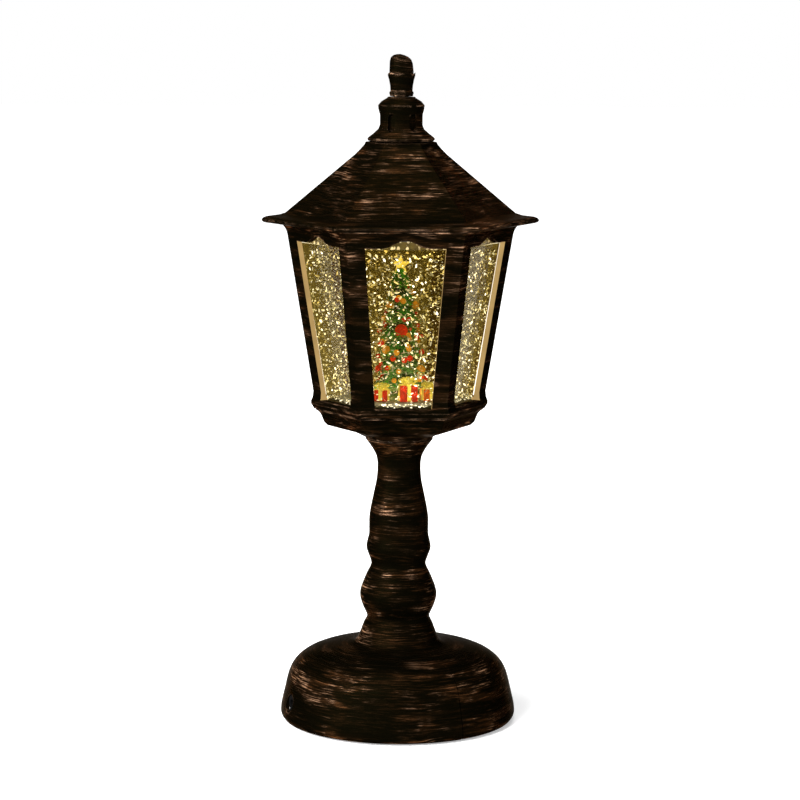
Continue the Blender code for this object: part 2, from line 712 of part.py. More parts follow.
def base_plate():
    radius = DOME_RADIUS * DOME_EDGE_SHARE - POST_WALL - FIT
    start, end = (0, 0, FOOT_CLEARANCE), (0, 0, PLATE_TOP)
    plate = rod("base_plate", radius, start, end, "dark_plastic", ROUND_STEPS)
    plate_pads(plate)
    plate_rooms(plate)
    reach = BAY_HALF_WIDTH + BAY_WALL + OVERRUN
    cut(plate, rod("hinge hole", HINGE_PIN_RADIUS + FIT, *hinge_line(reach), steps=TINY_STEPS))
    low = FOOT_CLEARANCE - OVERRUN
    for i, azimuth in enumerate(SCREW_AZIMUTHS):
        start = on_circle(SCREW_CIRCLE, azimuth, low)
        end = on_circle(SCREW_CIRCLE, azimuth, PLATE_TOP + OVERRUN)
        seat = on_circle(SCREW_CIRCLE, azimuth, FOOT_CLEARANCE + SCREW_HEAD_HEIGHT + FIT)
        cut(plate, rod(f"screw hole {i}", SCREW_RADIUS + FIT, start, end, steps=TINY_STEPS))
        cut(plate, rod(f"screw seat {i}", SCREW_HEAD_RADIUS + FIT, start, seat, steps=SMALL_STEPS))
    for i, azimuth in enumerate(foot_azimuths()):
        start = on_circle(FOOT_CIRCLE, azimuth, low)
        end = on_circle(FOOT_CIRCLE, azimuth, FOOT_CLEARANCE + FOOT_RECESS)
        cut(plate, rod(f"foot recess {i}", FOOT_RADIUS + FIT, start, end, steps=SMALL_STEPS))
    return shade(plate)


def battery_door():
    """The door fills the bay's mouth. Two pins hinge it at the rear, and a tongue snaps in at the front."""
    x, front = BAY_HALF_WIDTH - FIT, FIT - BAY_HALF_LENGTH
    top = FOOT_CLEARANCE + DOOR_THICKNESS
    door = box("battery_door", (-x, front, FOOT_CLEARANCE), (x, HINGE_Y, top), "dark_plastic")
    join(door, rod("door barrel", HINGE_RADIUS, *hinge_line(x)))
    reach = x + FIT + HINGE_PIN_LENGTH
    join(door, rod("door pins", HINGE_PIN_RADIUS, *hinge_line(reach), steps=WIRE_STEPS))
    half, near = TONGUE_WIDTH / 2, front + FIT
    low, high = FOOT_CLEARANCE + FIT, CELL_LEVEL - CONTACT_HEIGHT / 2 - FIT
    join(door, box("door tongue", (-half, near, low), (half, near + TONGUE_THICKNESS, high)))
    x, low, high = x - CELL_RADIUS, top - FIT, top + CELL_LIFT - FIT
    for i in range(DOOR_RIB_COUNT):
        share = (i + 1) / (DOOR_RIB_COUNT + 1)
        near = between(-BAY_HALF_LENGTH, BAY_HALF_LENGTH, share) - DOOR_RIB / 2
        join(door, box(f"door rib {i}", (-x, near, low), (x, near + DOOR_RIB, high)))
    return pivot(shade(door), (0, HINGE_Y, HINGE_Z))


def battery_cells():
    """Cells side by side, each turned end for end against the next, with a spring at its flat end."""
    z = CELL_LEVEL
    for i in range(CELL_COUNT):
        x = cell_column(i)
        way = 1 if i % 2 == 0 else -1
        spring = FIT - CONTACT_REACH
        flat = spring + SPRING_LENGTH + FIT
        shoulder, tip = flat + CELL_LENGTH, flat + CELL_LENGTH + CELL_BUTTON_HEIGHT
        start, end = (x, way * flat, z), (x, way * shoulder, z)
        cell = rod(f"battery_cell_{i + 1}", CELL_RADIUS, start, end, "cell_sleeve", MEDIUM_STEPS)
        start, end = (x, way * (shoulder - CELL_BUTTON_HEIGHT), z), (x, way * tip, z)
        join(cell, rod(f"cell button {i}", CELL_BUTTON_RADIUS, start, end, steps=TINY_STEPS))
        shade(cell)
        coil_spring(f"cell_spring_{i + 1}", x, way * spring, way, z)


def tube(name, path, radius, detail, finish_name):
    """A round wire along a path of points, closed at its ends."""
    curve = bpy.data.curves.new(name, "CURVE")
    curve.dimensions = "3D"
    curve.bevel_depth = radius
    curve.bevel_resolution = detail
    curve.use_fill_caps = True
    spline = curve.splines.new("POLY")
    spline.points.add(len(path) - 1)
    for point, place in zip(spline.points, path):
        point.co = (*place, 1)
    obj = bpy.data.objects.new(name, curve)
    parts.objects.link(obj)
    finish(obj, finish_name)
    return obj


def coil_spring(name, x, y, way, z):
    """A conical spring of round wire along Y, from its wide end."""
    count = SPRING_TURNS * WIRE_STEPS
    path = []
    for i in range(count + 1):
        radius = between(SPRING_RADIUS, SPRING_TIP_RADIUS, i / count)
        angle = 2 * pi * i / WIRE_STEPS
        along = between(SPRING_WIRE, SPRING_LENGTH - SPRING_WIRE, i / count)
        path.append((x + radius * cos(angle), y + way * along, z + radius * sin(angle)))
    return tube(name, path, SPRING_WIRE, 0, "steel")


def contact_plates():
    x, far = BAY_HALF_WIDTH - FIT, BAY_HALF_LENGTH - FIT
    near, low = far - CONTACT_THICKNESS, CELL_LEVEL - CONTACT_HEIGHT / 2
    high = low + CONTACT_HEIGHT
    box("contact_plate_front", (-x, -far, low), (x, -near, high), "steel")
    box("contact_plate_rear", (-x, near, low), (x, far, high), "steel")


def base_fittings():
    for i, azimuth in enumerate(SCREW_AZIMUTHS):
        start = on_circle(SCREW_CIRCLE, azimuth, FOOT_CLEARANCE)
        neck = on_circle(SCREW_CIRCLE, azimuth, FOOT_CLEARANCE + SCREW_HEAD_HEIGHT / 2)
        shoulder = on_circle(SCREW_CIRCLE, azimuth, FOOT_CLEARANCE + SCREW_HEAD_HEIGHT)
        end = on_circle(SCREW_CIRCLE, azimuth, FOOT_CLEARANCE + SCREW_LENGTH)
        screw = rod(f"base_screw_{i + 1}", SCREW_HEAD_RADIUS, start, shoulder, "steel", TINY_STEPS)
        join(screw, rod(f"screw shank {i}", SCREW_RADIUS, neck, end, steps=WIRE_STEPS))
        shade(screw)
    for i, azimuth in enumerate(foot_azimuths()):
        start = on_circle(FOOT_CIRCLE, azimuth, 0)
        end = on_circle(FOOT_CIRCLE, azimuth, FOOT_CLEARANCE + FOOT_RECESS - FIT)
        shade(rod(f"rubber_foot_{i + 1}", FOOT_RADIUS, start, end, "rubber", SMALL_STEPS))


def slide_switch():
    """A three-position slide switch over the pocket, with its slider in the middle place."""
    low = POCKET_TOP + SWITCH_POCKET_WALL + FIT
    room, top = low + SWITCH_HEIGHT / 2, low + SWITCH_HEIGHT
    corners = at_switch(SWITCH_WIDTH / 2, SWITCH_LENGTH / 2, low, top)
    body = box("switch_body", *corners, "dark_plastic")
    cut(body, box("switch room", *at_switch(SLOT_HALF_WIDTH, SLOT_HALF_LENGTH, low - OVERRUN, room)))
    corners = at_switch(SLIDER_WIDTH / 2, SLIDER_LENGTH / 2, POCKET_TOP - SLIDER_GRIP, room - FIT)
    slider = round_edges(box("switch_slider", *corners, "dark_plastic"), FIT)
    return pivot(slider, (SWITCH_X, 0, low))


def dc_jack():
    """The jack stands in its cradle with its nose in the foot's hole. Its pin stands free in the bore."""
    y, z = JACK_BODY / 2, JACK_HEIGHT
    tip = DOME_RADIUS - JACK_SETBACK
    front, bore_end = tip - JACK_NOSE_LENGTH, tip - JACK_BORE_DEPTH
    jack = box("dc_jack", (front - JACK_LENGTH, -y, z - y), (front, y, z + y), "dark_plastic")
    nose_start, pin_start, pin_end = front - OVERRUN, bore_end - OVERRUN, tip - OVERRUN / 2
    join(jack, rod("jack nose", JACK_NOSE_RADIUS, (nose_start, 0, z), (tip, 0, z), steps=MEDIUM_STEPS))
    bore = rod("jack bore", JACK_BORE_RADIUS, (bore_end, 0, z), (tip + OVERRUN, 0, z), steps=TINY_STEPS)
    cut(jack, bore)
    join(jack, rod("jack pin", JACK_PIN_RADIUS, (pin_start, 0, z), (pin_end, 0, z), steps=WIRE_STEPS))
    return shade(turn_about_z(realise(jack), JACK_AZIMUTH))


def board_place(shares, size):
    """Corners of a box that stands on the board, at these shares of the board's length and width."""
    x, y = BOARD_LENGTH * shares[0], BOARD_WIDTH * shares[1]
    low = BOARD_LEVEL + BOARD_THICKNESS
    half_x, half_y = size[0] / 2, size[1] / 2
    return (x - half_x, y - half_y, low - FIT), (x + half_x, y + half_y, low + size[2])


def control_board():
    top = BOARD_LEVEL + BOARD_THICKNESS
    x, y = BOARD_LENGTH / 2, BOARD_WIDTH / 2
    board = box("control_board", (-x, -y, BOARD_LEVEL), (x, y, top), "board_green")
    join(board, box("header", *board_place(HEADER_PLACE_SHARES, HEADER_SIZE)))
    join(board, box("chip", *board_place(CHIP_PLACE_SHARES, CHIP_SIZE)))
    x, y = BOARD_LENGTH * CAPACITOR_PLACE_SHARES[0], BOARD_WIDTH * CAPACITOR_PLACE_SHARES[1]
    start, end = (x, y, top - FIT), (x, y, top + CAPACITOR_HEIGHT)
    join(board, rod("capacitor", CAPACITOR_RADIUS, start, end, steps=TINY_STEPS))
    return shade(board)


# Path of the lead from board to motor: share of the header's distance from the axis, share of the rise
HARNESS_SHARES = (
    (1.00, 0.00),
    (0.99, 0.03),
    (0.80, 0.09),
    (0.40, 0.18),
    (0.10, 0.29),
    (0.00, 0.42),
    (0.00, 0.60),
    (0.00, 0.80),
    (0.00, 1.00),
)


def wire_harness():
    """The lead from the control board up the hollow column to the motor."""
    (_, _, _), (_, _, header_top) = board_place(HEADER_PLACE_SHARES, HEADER_SIZE)
    x, y = BOARD_LENGTH * HEADER_PLACE_SHARES[0], BOARD_WIDTH * HEADER_PLACE_SHARES[1]
    start, end = header_top + FIT, HOLDER_TOP - FIT - MOTOR_LENGTH - FIT
    path = [(x * away, y * away, between(start, end, share)) for away, share in HARNESS_SHARES]
    return tube("wire_harness", smooth(path, OUTLINE_STEPS), HARNESS_RADIUS, 2, "wire_black")


# The cup's outside, down from its rim: shares of the frame's bottom radius and of the cup's height
CUP_OUTER_SHARES = (
    (0.980, 1.000),
    (0.945, 0.940),
    (0.915, 0.845),
    (0.896, 0.705),
    (0.875, 0.550),
    (0.835, 0.435),
    (0.700, 0.325),
    (0.527, 0.205),
    (0.405, 0.030),
)
# Its inside, up from its floor: shares of the radius of its mouth and of the room over the floor
CUP_INNER_SHARES = (
    (0.461, 0.00),
    (0.573, 0.13),
    (0.775, 0.30),
    (0.867, 0.38),
    (0.924, 0.53),
    (0.969, 0.80),
    (1.000, 1.00),
)


def cup_mouth():
    """Corner radius inside the cup's top, which the tank's foot drops into."""
    return tank_radius(TANK_SIDE) + TANK_CUP_GAP


def cup_room(level):
    """Radius of the largest circle inside the cup at a level."""
    share = (level - HOLDER_LEVEL + FIT) / CUP_ROOM
    for (low_radius, low), (high_radius, high) in zip(CUP_INNER_SHARES, CUP_INNER_SHARES[1:]):
        if share <= high:
            reach = between(low_radius, high_radius, (share - low) / (high - low))
            return cup_mouth() * reach * APOTHEM_SHARE
    return cup_mouth() * high_radius * APOTHEM_SHARE


def lower_cup():
    floor = CUP_BOTTOM + CUP_FLOOR
    outline = [(0, floor)]
    outline += [(cup_mouth() * r, floor + CUP_ROOM * z) for r, z in CUP_INNER_SHARES]
    outline += [(FRAME_BOTTOM_RADIUS * r, CUP_BOTTOM + CUP_HEIGHT * z) for r, z in CUP_OUTER_SHARES]
    outline.append((0, outline[-1][1]))
    cup = turned("lower_cup", outline, "bronze_plastic", SIDES)
    collar_top = (0, 0, CUP_BOTTOM + CUP_HEIGHT * COLLAR_SHARE)
    join(cup, rod("cup collar", CAPITAL_RADIUS, (0, 0, CUP_BOTTOM), collar_top, steps=ROUND_STEPS))
    start, end = (0, 0, CUP_BOTTOM - OVERRUN), (0, 0, floor + OVERRUN)
    cut(cup, rod("cup throat", SPIGOT_RADIUS + FIT, start, end, steps=MEDIUM_STEPS))
    return shade(cup)


def motor_holder():
    """A flanged sleeve that hangs the motor in the top of the column."""
    inner, outer = MOTOR_RADIUS + FIT, MOTOR_RADIUS + FIT + HOLDER_WALL
    flange, low = cup_room(HOLDER_LEVEL) - FIT, HOLDER_LEVEL - HOLDER_SLEEVE
    outline = [
        (flange, HOLDER_TOP),
        (flange, HOLDER_LEVEL),
        (outer, HOLDER_LEVEL),
        (outer, low),
        (inner, low),
        (inner, HOLDER_TOP),
    ]
    return shade(turned("motor_holder", outline, "white_plastic", SMALL_STEPS))


def motor():
    """The motor, and the magnet on its shaft that turns the impeller through the floor of the tank."""
    top = HOLDER_TOP - FIT
    can = rod("motor", MOTOR_RADIUS, (0, 0, top - MOTOR_LENGTH), (0, 0, top), "steel")
    start, end = (0, 0, top - SHAFT_DEPTH), (0, 0, top + OVERRUN)
    cut(can, rod("shaft bore", SHAFT_RADIUS + FIT, start, end, steps=TINY_STEPS))
    shade(can)
    low = HOLDER_TOP + MAGNET_LIFT
    start, end = (0, 0, low), (0, 0, low + MAGNET_THICKNESS)
    rotor = rod("motor_rotor", MAGNET_RADIUS, start, end, "magnet_grey", MEDIUM_STEPS)
    start, end = (0, 0, top - SHAFT_DEPTH + FIT), (0, 0, low + MAGNET_THICKNESS / 2)
    join(rotor, rod("rotor shaft", SHAFT_RADIUS, start, end, steps=WIRE_STEPS))
    return shade(rotor)


def led_board():
    """A ring of lights around the magnet, under the clear floor of the tank."""
    low = HOLDER_TOP + FIT
    top = low + LED_BOARD_THICKNESS
    bore, outer = MAGNET_RADIUS + MAGNET_ROOM, cup_room(low) - FIT
    outline = [(outer, top), (outer, low), (bore, low), (bore, top)]
    board = turned("led_board", outline, "white_plastic", MEDIUM_STEPS)
    half, middle = LED_SIZE / 2, between(bore, outer, LED_PLACE_SHARE)
    for i in range(SIDES):
        near, far = (middle - half, -half, top - FIT), (middle + half, half, top + LED_HEIGHT)
        join(board, turn_about_z(box(f"led {i}", near, far), 2 * pi * i / SIDES))
    return shade(board)


# The frame's mouldings as shares: of their overhang, and of the frame's height
CORNICE_SHARES = ((1.0, 1.0), (0.64, 0.988), (0.24, 0.970), (0.0, 0.947))
SILL_SHARES = ((0.0, 0.096), (0.30, 0.064), (1.0, 0.044), (1.0, 0.028), (0.0, 0.008), (-0.40, 0.0))


def moulding(shares, inner, outer, bottom, height):
    """An outline from shares of the way between two radii and of a height."""
    return [(between(inner, outer, r), bottom + height * z) for r, z in shares]


def frame_radius(level):
    """Corner radius of the frame's tapered outer face at a level."""
    low = FRAME_BOTTOM + FRAME_HEIGHT * SILL_SHARES[0][1]
    high = FRAME_BOTTOM + FRAME_HEIGHT * CORNICE_SHARES[-1][1]
    return between(FRAME_BOTTOM_RADIUS, FRAME_TOP_RADIUS, (level - low) / (high - low))


def frame_room(level):
    """Corner radius inside the frame at a level."""
    return frame_radius(level) - FRAME_WALL / APOTHEM_SHARE


def window_outline():
    """Straight sides and flat shoulders, with an arch that swings up between the shoulders."""
    sill, shoulder = FRAME_BOTTOM + WINDOW_SILL, FRAME_TOP - WINDOW_HEAD
    count = 2 * ARC_STEPS
    arch = []
    for i in range(count + 1):
        turn = 2 * pi * i / count
        across = between(ARCH_WIDTH, -ARCH_WIDTH, i / count) / 2
        arch.append((across, shoulder + ARCH_RISE * (1 - cos(turn)) / 2))
    low, high = WINDOW_BOTTOM_WIDTH / 2, WINDOW_TOP_WIDTH / 2
    return [(-low, sill), (low, sill), (high, shoulder)] + arch + [(-high, shoulder)]


def slab(name, outline, near, far):
    """A cutter: an outline of (across, level), extruded along -Y between two distances from the axis."""
    curve = bpy.data.curves.new(name, "CURVE")
    curve.dimensions = "2D"
    curve.fill_mode = "BOTH"
    curve.extrude = (far - near) / 2
    spline = curve.splines.new("POLY")
    spline.points.add(len(outline) - 1)
    spline.use_cyclic_u = True
    for point, (across, level) in zip(spline.points, outline):
        point.co = (across, level, 0, 1)
    source = bpy.data.objects.new(name + " outline", curve)
    cutters.objects.link(source)
    bpy.context.view_layer.update()
    graph = bpy.context.evaluated_depsgraph_get()
    mesh = bpy.data.meshes.new_from_object(source.evaluated_get(graph))
    bpy.data.objects.remove(source, do_unlink=True)
    shape = bmesh.new()
    shape.from_mesh(mesh)
    bmesh.ops.remove_doubles(shape, verts=shape.verts, dist=FIT / 100)
    move = Matrix.Translation((0, -(near + far) / 2, 0))
    shape.transform(move @ Matrix.Rotation(pi / 2, 4, "X"))
    bmesh.ops.recalc_face_normals(shape, faces=shape.faces)
    shape.to_mesh(mesh)
    shape.free()
    return add(name, mesh)


def lantern_frame():
    outline = moulding(CORNICE_SHARES, FRAME_TOP_RADIUS, CORNICE_RADIUS, FRAME_BOTTOM, FRAME_HEIGHT)
    outline += moulding(SILL_SHARES, FRAME_BOTTOM_RADIUS, SILL_RADIUS, FRAME_BOTTOM, FRAME_HEIGHT)
    outline += [(frame_room(FRAME_BOTTOM), FRAME_BOTTOM), (frame_room(FRAME_TOP), FRAME_TOP)]
    frame = turned("lantern_frame", outline, "bronze_plastic", SIDES)
    near, far = frame_room(FRAME_BOTTOM) / 2, CORNICE_RADIUS + OVERRUN
    for i in range(SIDES):
        window = slab(f"window {i}", window_outline(), near, far)
        cut(frame, turn_about_z(window, 2 * pi * i / SIDES))
    return shade(frame)


def tank_radius(level):
    """Corner radius of the tank's outer face: it hangs inside the frame with a fit all round."""
    return frame_room(level) - 2 * FIT


def tank_room(level):
    """Corner radius inside the tank at a level."""
    return tank_radius(level) - TANK_WALL / APOTHEM_SHARE


def water_tank():
    bottom = tank_radius(TANK_SIDE) - TANK_CHAMFER_RUN
    narrow = tank_room(TANK_SHELF) - TANK_LEDGE
    outline = [
        (0, TANK_FLOOR),
        (narrow - TANK_CHAMFER_RUN * TANK_FLOOR_SHARE, TANK_FLOOR),
        (narrow, TANK_SIDE),
        (narrow, TANK_SHELF),
        (tank_room(TANK_SHELF), TANK_SHELF),
        (tank_room(TANK_RIM), TANK_RIM),
        (tank_radius(TANK_RIM), TANK_RIM),
        (tank_radius(TANK_SIDE), TANK_SIDE),
        (bottom, TANK_BOTTOM),
        (0, TANK_BOTTOM),
    ]
    return shade(turned("water_tank", outline, "clear_acrylic", SIDES))


def tank_lid():
    """The lid over a seal on the tank's rim, with a rim of its own inside the tank and a plug to fill it."""
    outside, wall = tank_radius(TANK_RIM), TANK_WALL / APOTHEM_SHARE
    seal_inside = outside - SEAL_WIDTH / APOTHEM_SHARE
    seal_low, seal_top = TANK_RIM + FIT, TANK_RIM + FIT + SEAL_HEIGHT
    ring = outside - FIT
    outline = [(ring, seal_top), (ring, seal_low), (seal_inside, seal_low), (seal_inside, seal_top)]
    shade(turned("lid_seal", outline, "rubber", SIDES))
    low, bottom = seal_top + FIT, TANK_RIM - LID_RIM
    top = low + LID_THICKNESS
    step, rim = seal_inside - 2 * FIT, tank_room(TANK_RIM) - 3 * FIT
    hollow = rim + FIT - wall
    outline = [
        (0, top),
        (outside, top),
        (outside, low),
        (step, low),
        (step, TANK_RIM),
        (rim, bottom),
        (hollow, bottom),
        (hollow, low),
        (0, low),
    ]
    lid = turned("tank_lid", outline, "white_plastic", SIDES)
    cut(lid, rod("fill hole", PLUG_RADIUS + FIT, (0, 0, low - OVERRUN), (0, 0, top + OVERRUN)))
    shade(lid)
    plug_low, plug_top = top + FIT, top + FIT + PLUG_HEAD
    outline = [
        (0, plug_top),
        (PLUG_HEAD_RADIUS, plug_top),
        (PLUG_HEAD_RADIUS, plug_low),
        (PLUG_RADIUS, plug_low),
        (PLUG_RADIUS - FIT, plug_low - PLUG_DEPTH),
        (0, plug_low - PLUG_DEPTH),
    ]
    return shade(turned("fill_plug", outline, "rubber", SMALL_STEPS))


def impeller():
    low = TANK_FLOOR + IMPELLER_LIFT
    start, end = (0, 0, low), (0, 0, low + IMPELLER_HUB_HEIGHT)
    wheel = rod("impeller", IMPELLER_HUB_RADIUS, start, end, "white_plastic", MEDIUM_STEPS)
    half = IMPELLER_BLADE_THICKNESS / 2
    near = (IMPELLER_HUB_RADIUS / 2, -half, low + FIT / 2)
    far = (IMPELLER_RADIUS, half, low + IMPELLER_BLADE_HEIGHT)
    for i in range(IMPELLER_BLADE_COUNT):
        turn = pi * (2 * i + 1) / IMPELLER_BLADE_COUNT
        join(wheel, turn_about_z(box(f"blade {i}", near, far), turn))
    start, end = (0, 0, low - OVERRUN), (0, 0, TANK_SHELF)
    cut(wheel, rod("pin bore", PIN_RADIUS + FIT, start, end, steps=TINY_STEPS))
    shade(wheel)
    start = (0, 0, TANK_FLOOR + FIT)
    return shade(rod("impeller_pin", PIN_RADIUS, start, end, "steel", TINY_STEPS))


def plate_radius():
    """Corner radius of the scene's plate, which lies on the tank's ledge."""
    return tank_room(TANK_SHELF) - 2 * FIT


def mound_radius():
    return plate_radius() * APOTHEM_SHARE - MOUND_INSET


def scene_plate():
    top = PLATE_LEVEL + SCENE_PLATE_THICKNESS
    start, end = (0, 0, PLATE_LEVEL), (0, 0, top)
    plate = rod("scene_plate", plate_radius(), start, end, "snow_plastic", SIDES)
    turn_about_z(plate, pi / SIDES)
    circle = plate_radius() - FLOW_HOLE_INSET
    for i in range(SIDES):
        start = on_circle(circle, 2 * pi * i / SIDES, PLATE_LEVEL - OVERRUN)
        end = on_circle(circle, 2 * pi * i / SIDES, top + OVERRUN)
        cut(plate, rod(f"flow hole {i}", FLOW_HOLE_RADIUS, start, end, steps=TINY_STEPS))
    return shade(plate)


# The heap of snow around the trunk: shares of its radius, and of its rise over the terrace
HEAP_SHARES = ((0.55, 1.0), (0.80, 0.75), (0.95, 0.30), (1.10, 0.0))


def snow_mound():
    radius = mound_radius()
    outline = [(0, MOUND_TOP)]
    outline += moulding(HEAP_SHARES, 0, HEAP_RADIUS, TERRACE_LEVEL, MOUND_TOP - TERRACE_LEVEL)
    outline += [
        (radius * MOUND_BEVEL_SHARE, TERRACE_LEVEL),
        (radius, MOUND_LEVEL + TERRACE_HEIGHT / 2),
        (radius, MOUND_LEVEL),
        (0, MOUND_LEVEL),
    ]
    mound = turned("snow_mound", outline, "snow_plastic", MEDIUM_STEPS)
    start, end = (0, 0, MOUND_TOP - TRUNK_SOCKET), (0, 0, MOUND_TOP + OVERRUN)
    cut(mound, rod("mound socket", TRUNK_RADIUS + FIT, start, end, steps=TINY_STEPS))
    return shade(mound)


def tree_spread(level):
    """Radius of the tree's outer shape at a level."""
    return (mound_radius() - TREE_SHELF) * (TREE_TOP - level) / (TREE_TOP - TREE_FOOT)


def bauble_places():
    """Centre, radius and finish of each bauble, hung between two branches."""
    for tier, valley, radius, finish_name in BAUBLES:
        level = TREE_TOP - TREE_STEP * (tier + 1)
        azimuth = TREE_TIER_TWIST * tier + pi * (2 * valley + 1) / TREE_POINT_COUNT
        yield on_circle(tree_spread(level) * BAUBLE_REACH_SHARE, azimuth, level), radius, finish_name


def tree_rings():
    """Pleated rings from the tip down: radius of their points and of their valleys, level, droop, turn."""
    droop = TREE_STEP * TREE_DROOP_SHARE
    for tier in range(TREE_TIER_COUNT):
        top, twist = TREE_TOP - TREE_STEP * tier, TREE_TIER_TWIST * tier
        low, wide = top - TREE_STEP, tree_spread(top - TREE_STEP)
        neck = max(TREE_TOP_RADIUS, tree_spread(top) * TREE_NECK_SHARE)
        yield neck, neck, top + droop * min(tier, 1), 0, twist
        yield wide, wide * TREE_VALLEY_SHARE, low + droop, droop, twist
        under = wide * TREE_UNDER_SHARE
        yield under, under, low + droop * TREE_HOLLOW_SHARE, 0, twist


def tree():
    """Tiers of drooping, pointed branches, lofted through pleated rings, with a pocket for each bauble."""
    shape = bmesh.new()
    count = 2 * TREE_POINT_COUNT
    loops = []
    for tip, valley, level, droop, twist in tree_rings():
        loop = []
        for i in range(count):
            radius, drop = (tip, droop) if i % 2 == 0 else (valley, 0)
            azimuth = twist + 2 * pi * i / count
            loop.append(shape.verts.new(on_circle(radius, azimuth, level - drop)))
        loops.append(loop)
    for upper, lower in zip(loops, loops[1:]):
        for i in range(count):
            j = (i + 1) % count
            shape.faces.new((upper[j], upper[i], lower[i], lower[j]))
    shape.faces.new(loops[0])
    shape.faces.new(list(reversed(loops[-1])))
    bmesh.ops.triangulate(shape, faces=shape.faces)
    obj = from_bmesh("tree", shape, "tree_green")
    for i, (centre, radius, _) in enumerate(bauble_places()):
        cut(obj, ball(f"bauble pocket {i}", radius + FIT, centre, detail=2))
    start, end = (0, 0, TREE_FOOT - OVERRUN), (0, 0, TREE_SEAT + TRUNK_SOCKET)
    cut(obj, rod("tree socket", TRUNK_RADIUS + FIT, start, end, steps=TINY_STEPS))
    return obj


def tree_trunk():
    start, end = (0, 0, MOUND_TOP - TRUNK_SOCKET + FIT), (0, 0, TREE_SEAT + TRUNK_SOCKET - FIT)
    return shade(rod("tree_trunk", TRUNK_RADIUS, start, end, "trunk_brown", TINY_STEPS))


def tree_star():
    """A flat star whose lowest notch sits astride the tree's tip."""
    half_turn = pi / STAR_POINT_COUNT
    notch_slope = (cos(half_turn) - STAR_INNER_SHARE) / sin(half_turn)
    centre = TREE_TOP + FIT + STAR_RADIUS * STAR_INNER_SHARE + TREE_TOP_RADIUS * notch_slope
    outline = []
    for i in range(2 * STAR_POINT_COUNT):
        radius = STAR_RADIUS * (1 if i % 2 == 0 else STAR_INNER_SHARE)
        angle = pi / 2 + half_turn * i
        outline.append((radius * cos(angle), centre + radius * sin(angle)))
    star = slab("tree_star", outline, -STAR_THICKNESS / 2, STAR_THICKNESS / 2)
    cutters.objects.unlink(star)
    parts.objects.link(star)
    star.hide_render = False
    star.display_type = "TEXTURED"
    finish(star, "star_yellow")
    return star


def baubles():
    for i, (centre, radius, finish_name) in enumerate(bauble_places()):
        shade(ball(f"bauble_{i + 1}", radius, centre, finish_name, detail=2), pi)


def gift(number, place, size, turn, finish_name):
    """A gift box in its ribbon: two crossed bands with a bow, grooved into the box."""
    x, y, z = size[0] / 2, size[1] / 2, size[2]
    half, out = RIBBON_WIDTH / 2, RIBBON_THICKNESS
    present = box(f"gift_box_{number}", (-x, -y, 0), (x, y, z), finish_name)
    low, high = (-half, -y - out, FIT), (half, y + out, z + out)
    ribbon = box(f"gift_ribbon_{number}", low, high, "ribbon_yellow")
    join(ribbon, box(f"band {number}", (-x - out, -half, FIT), (x + out, half, z + out)))
    for side in (-1, 1):
        centre = (side * BOW_RADIUS, 0, z + out + BOW_RADIUS / 2)
        join(ribbon, ball(f"bow {number} {side}", BOW_RADIUS, centre, detail=1))
    cut(ribbon, box(f"ribbon room {number}", (out - x, out - y, -OVERRUN), (x - out, y - out, z - out)))
    core_x, core_y, core_z = x - out - FIT, y - out - FIT, z - out - FIT
    for axis, reach in enumerate(((half + FIT, y + OVERRUN), (x + OVERRUN, half + FIT))):
        low, high = (-reach[0], -reach[1], -OVERRUN), (reach[0], reach[1], z + OVERRUN)
        groove = box(f"groove {number} {axis}", low, high)
        low, high = (-core_x, -core_y, -2 * OVERRUN), (core_x, core_y, core_z)
        cut(present, cut(groove, box(f"core {number} {axis}", low, high)))
    move = Matrix.Translation(place) @ Matrix.Rotation(turn, 4, "Z")
    for obj in (present, ribbon):
        realise(obj).data.transform(move)


def gifts():
    for i, (along, inset, size, turn, finish_name) in enumerate(GIFTS):
        radius = mound_radius() - inset
        place = on_circle(radius, along / radius - pi / 2, TERRACE_LEVEL + FIT)
        gift(i + 1, place, size, turn, finish_name)


# The roof's outside as shares: of the way between two of its radii, and of its height
ROOF_NECK_SHARES = ((0.0, 1.0), (0.019, 0.963), (0.075, 0.901), (0.138, 0.840))
BRIM_SHARES = (
    (0.00, 0.130),
    (0.29, 0.102),
    (0.79, 0.086),
    (0.94, 0.068),
    (1.00, 0.043),
    (0.95, 0.019),
    (0.81, 0.006),
    (0.43, 0.000),
)


def roof():
    """The pyramid shell with its brim, and the skirt under it that drops inside the frame."""
    outline = moulding(ROOF_NECK_SHARES, ROOF_TOP_RADIUS, EAVE_RADIUS, ROOF_BOTTOM, ROOF_HEIGHT)
    brim = moulding(BRIM_SHARES, EAVE_RADIUS, BRIM_RADIUS, ROOF_BOTTOM, ROOF_HEIGHT)
    high, low = outline[-1], brim[0]
    slope = (low[0] - high[0]) / (high[1] - low[1])
    wall = ROOF_WALL * hypot(1, slope * APOTHEM_SHARE) / APOTHEM_SHARE
    skirt = frame_room(FRAME_TOP) - 2 * FIT
    inside = skirt - ROOF_SKIRT_WALL / APOTHEM_SHARE
    eave = low[1] + (low[0] - wall - inside) / slope
    neck = low[1] + (low[0] - wall - ROOF_NECK_RADIUS) / slope
    outline += brim
    outline += [
        (skirt, ROOF_BOTTOM),
        (skirt - FIT, ROOF_BOTTOM - ROOF_SKIRT),
        (inside, ROOF_BOTTOM - ROOF_SKIRT),
        (inside, eave),
        (ROOF_NECK_RADIUS, neck),
        (ROOF_NECK_RADIUS, ROOF_TOP),
    ]
    return shade(turned("roof", outline, "bronze_plastic", SIDES))


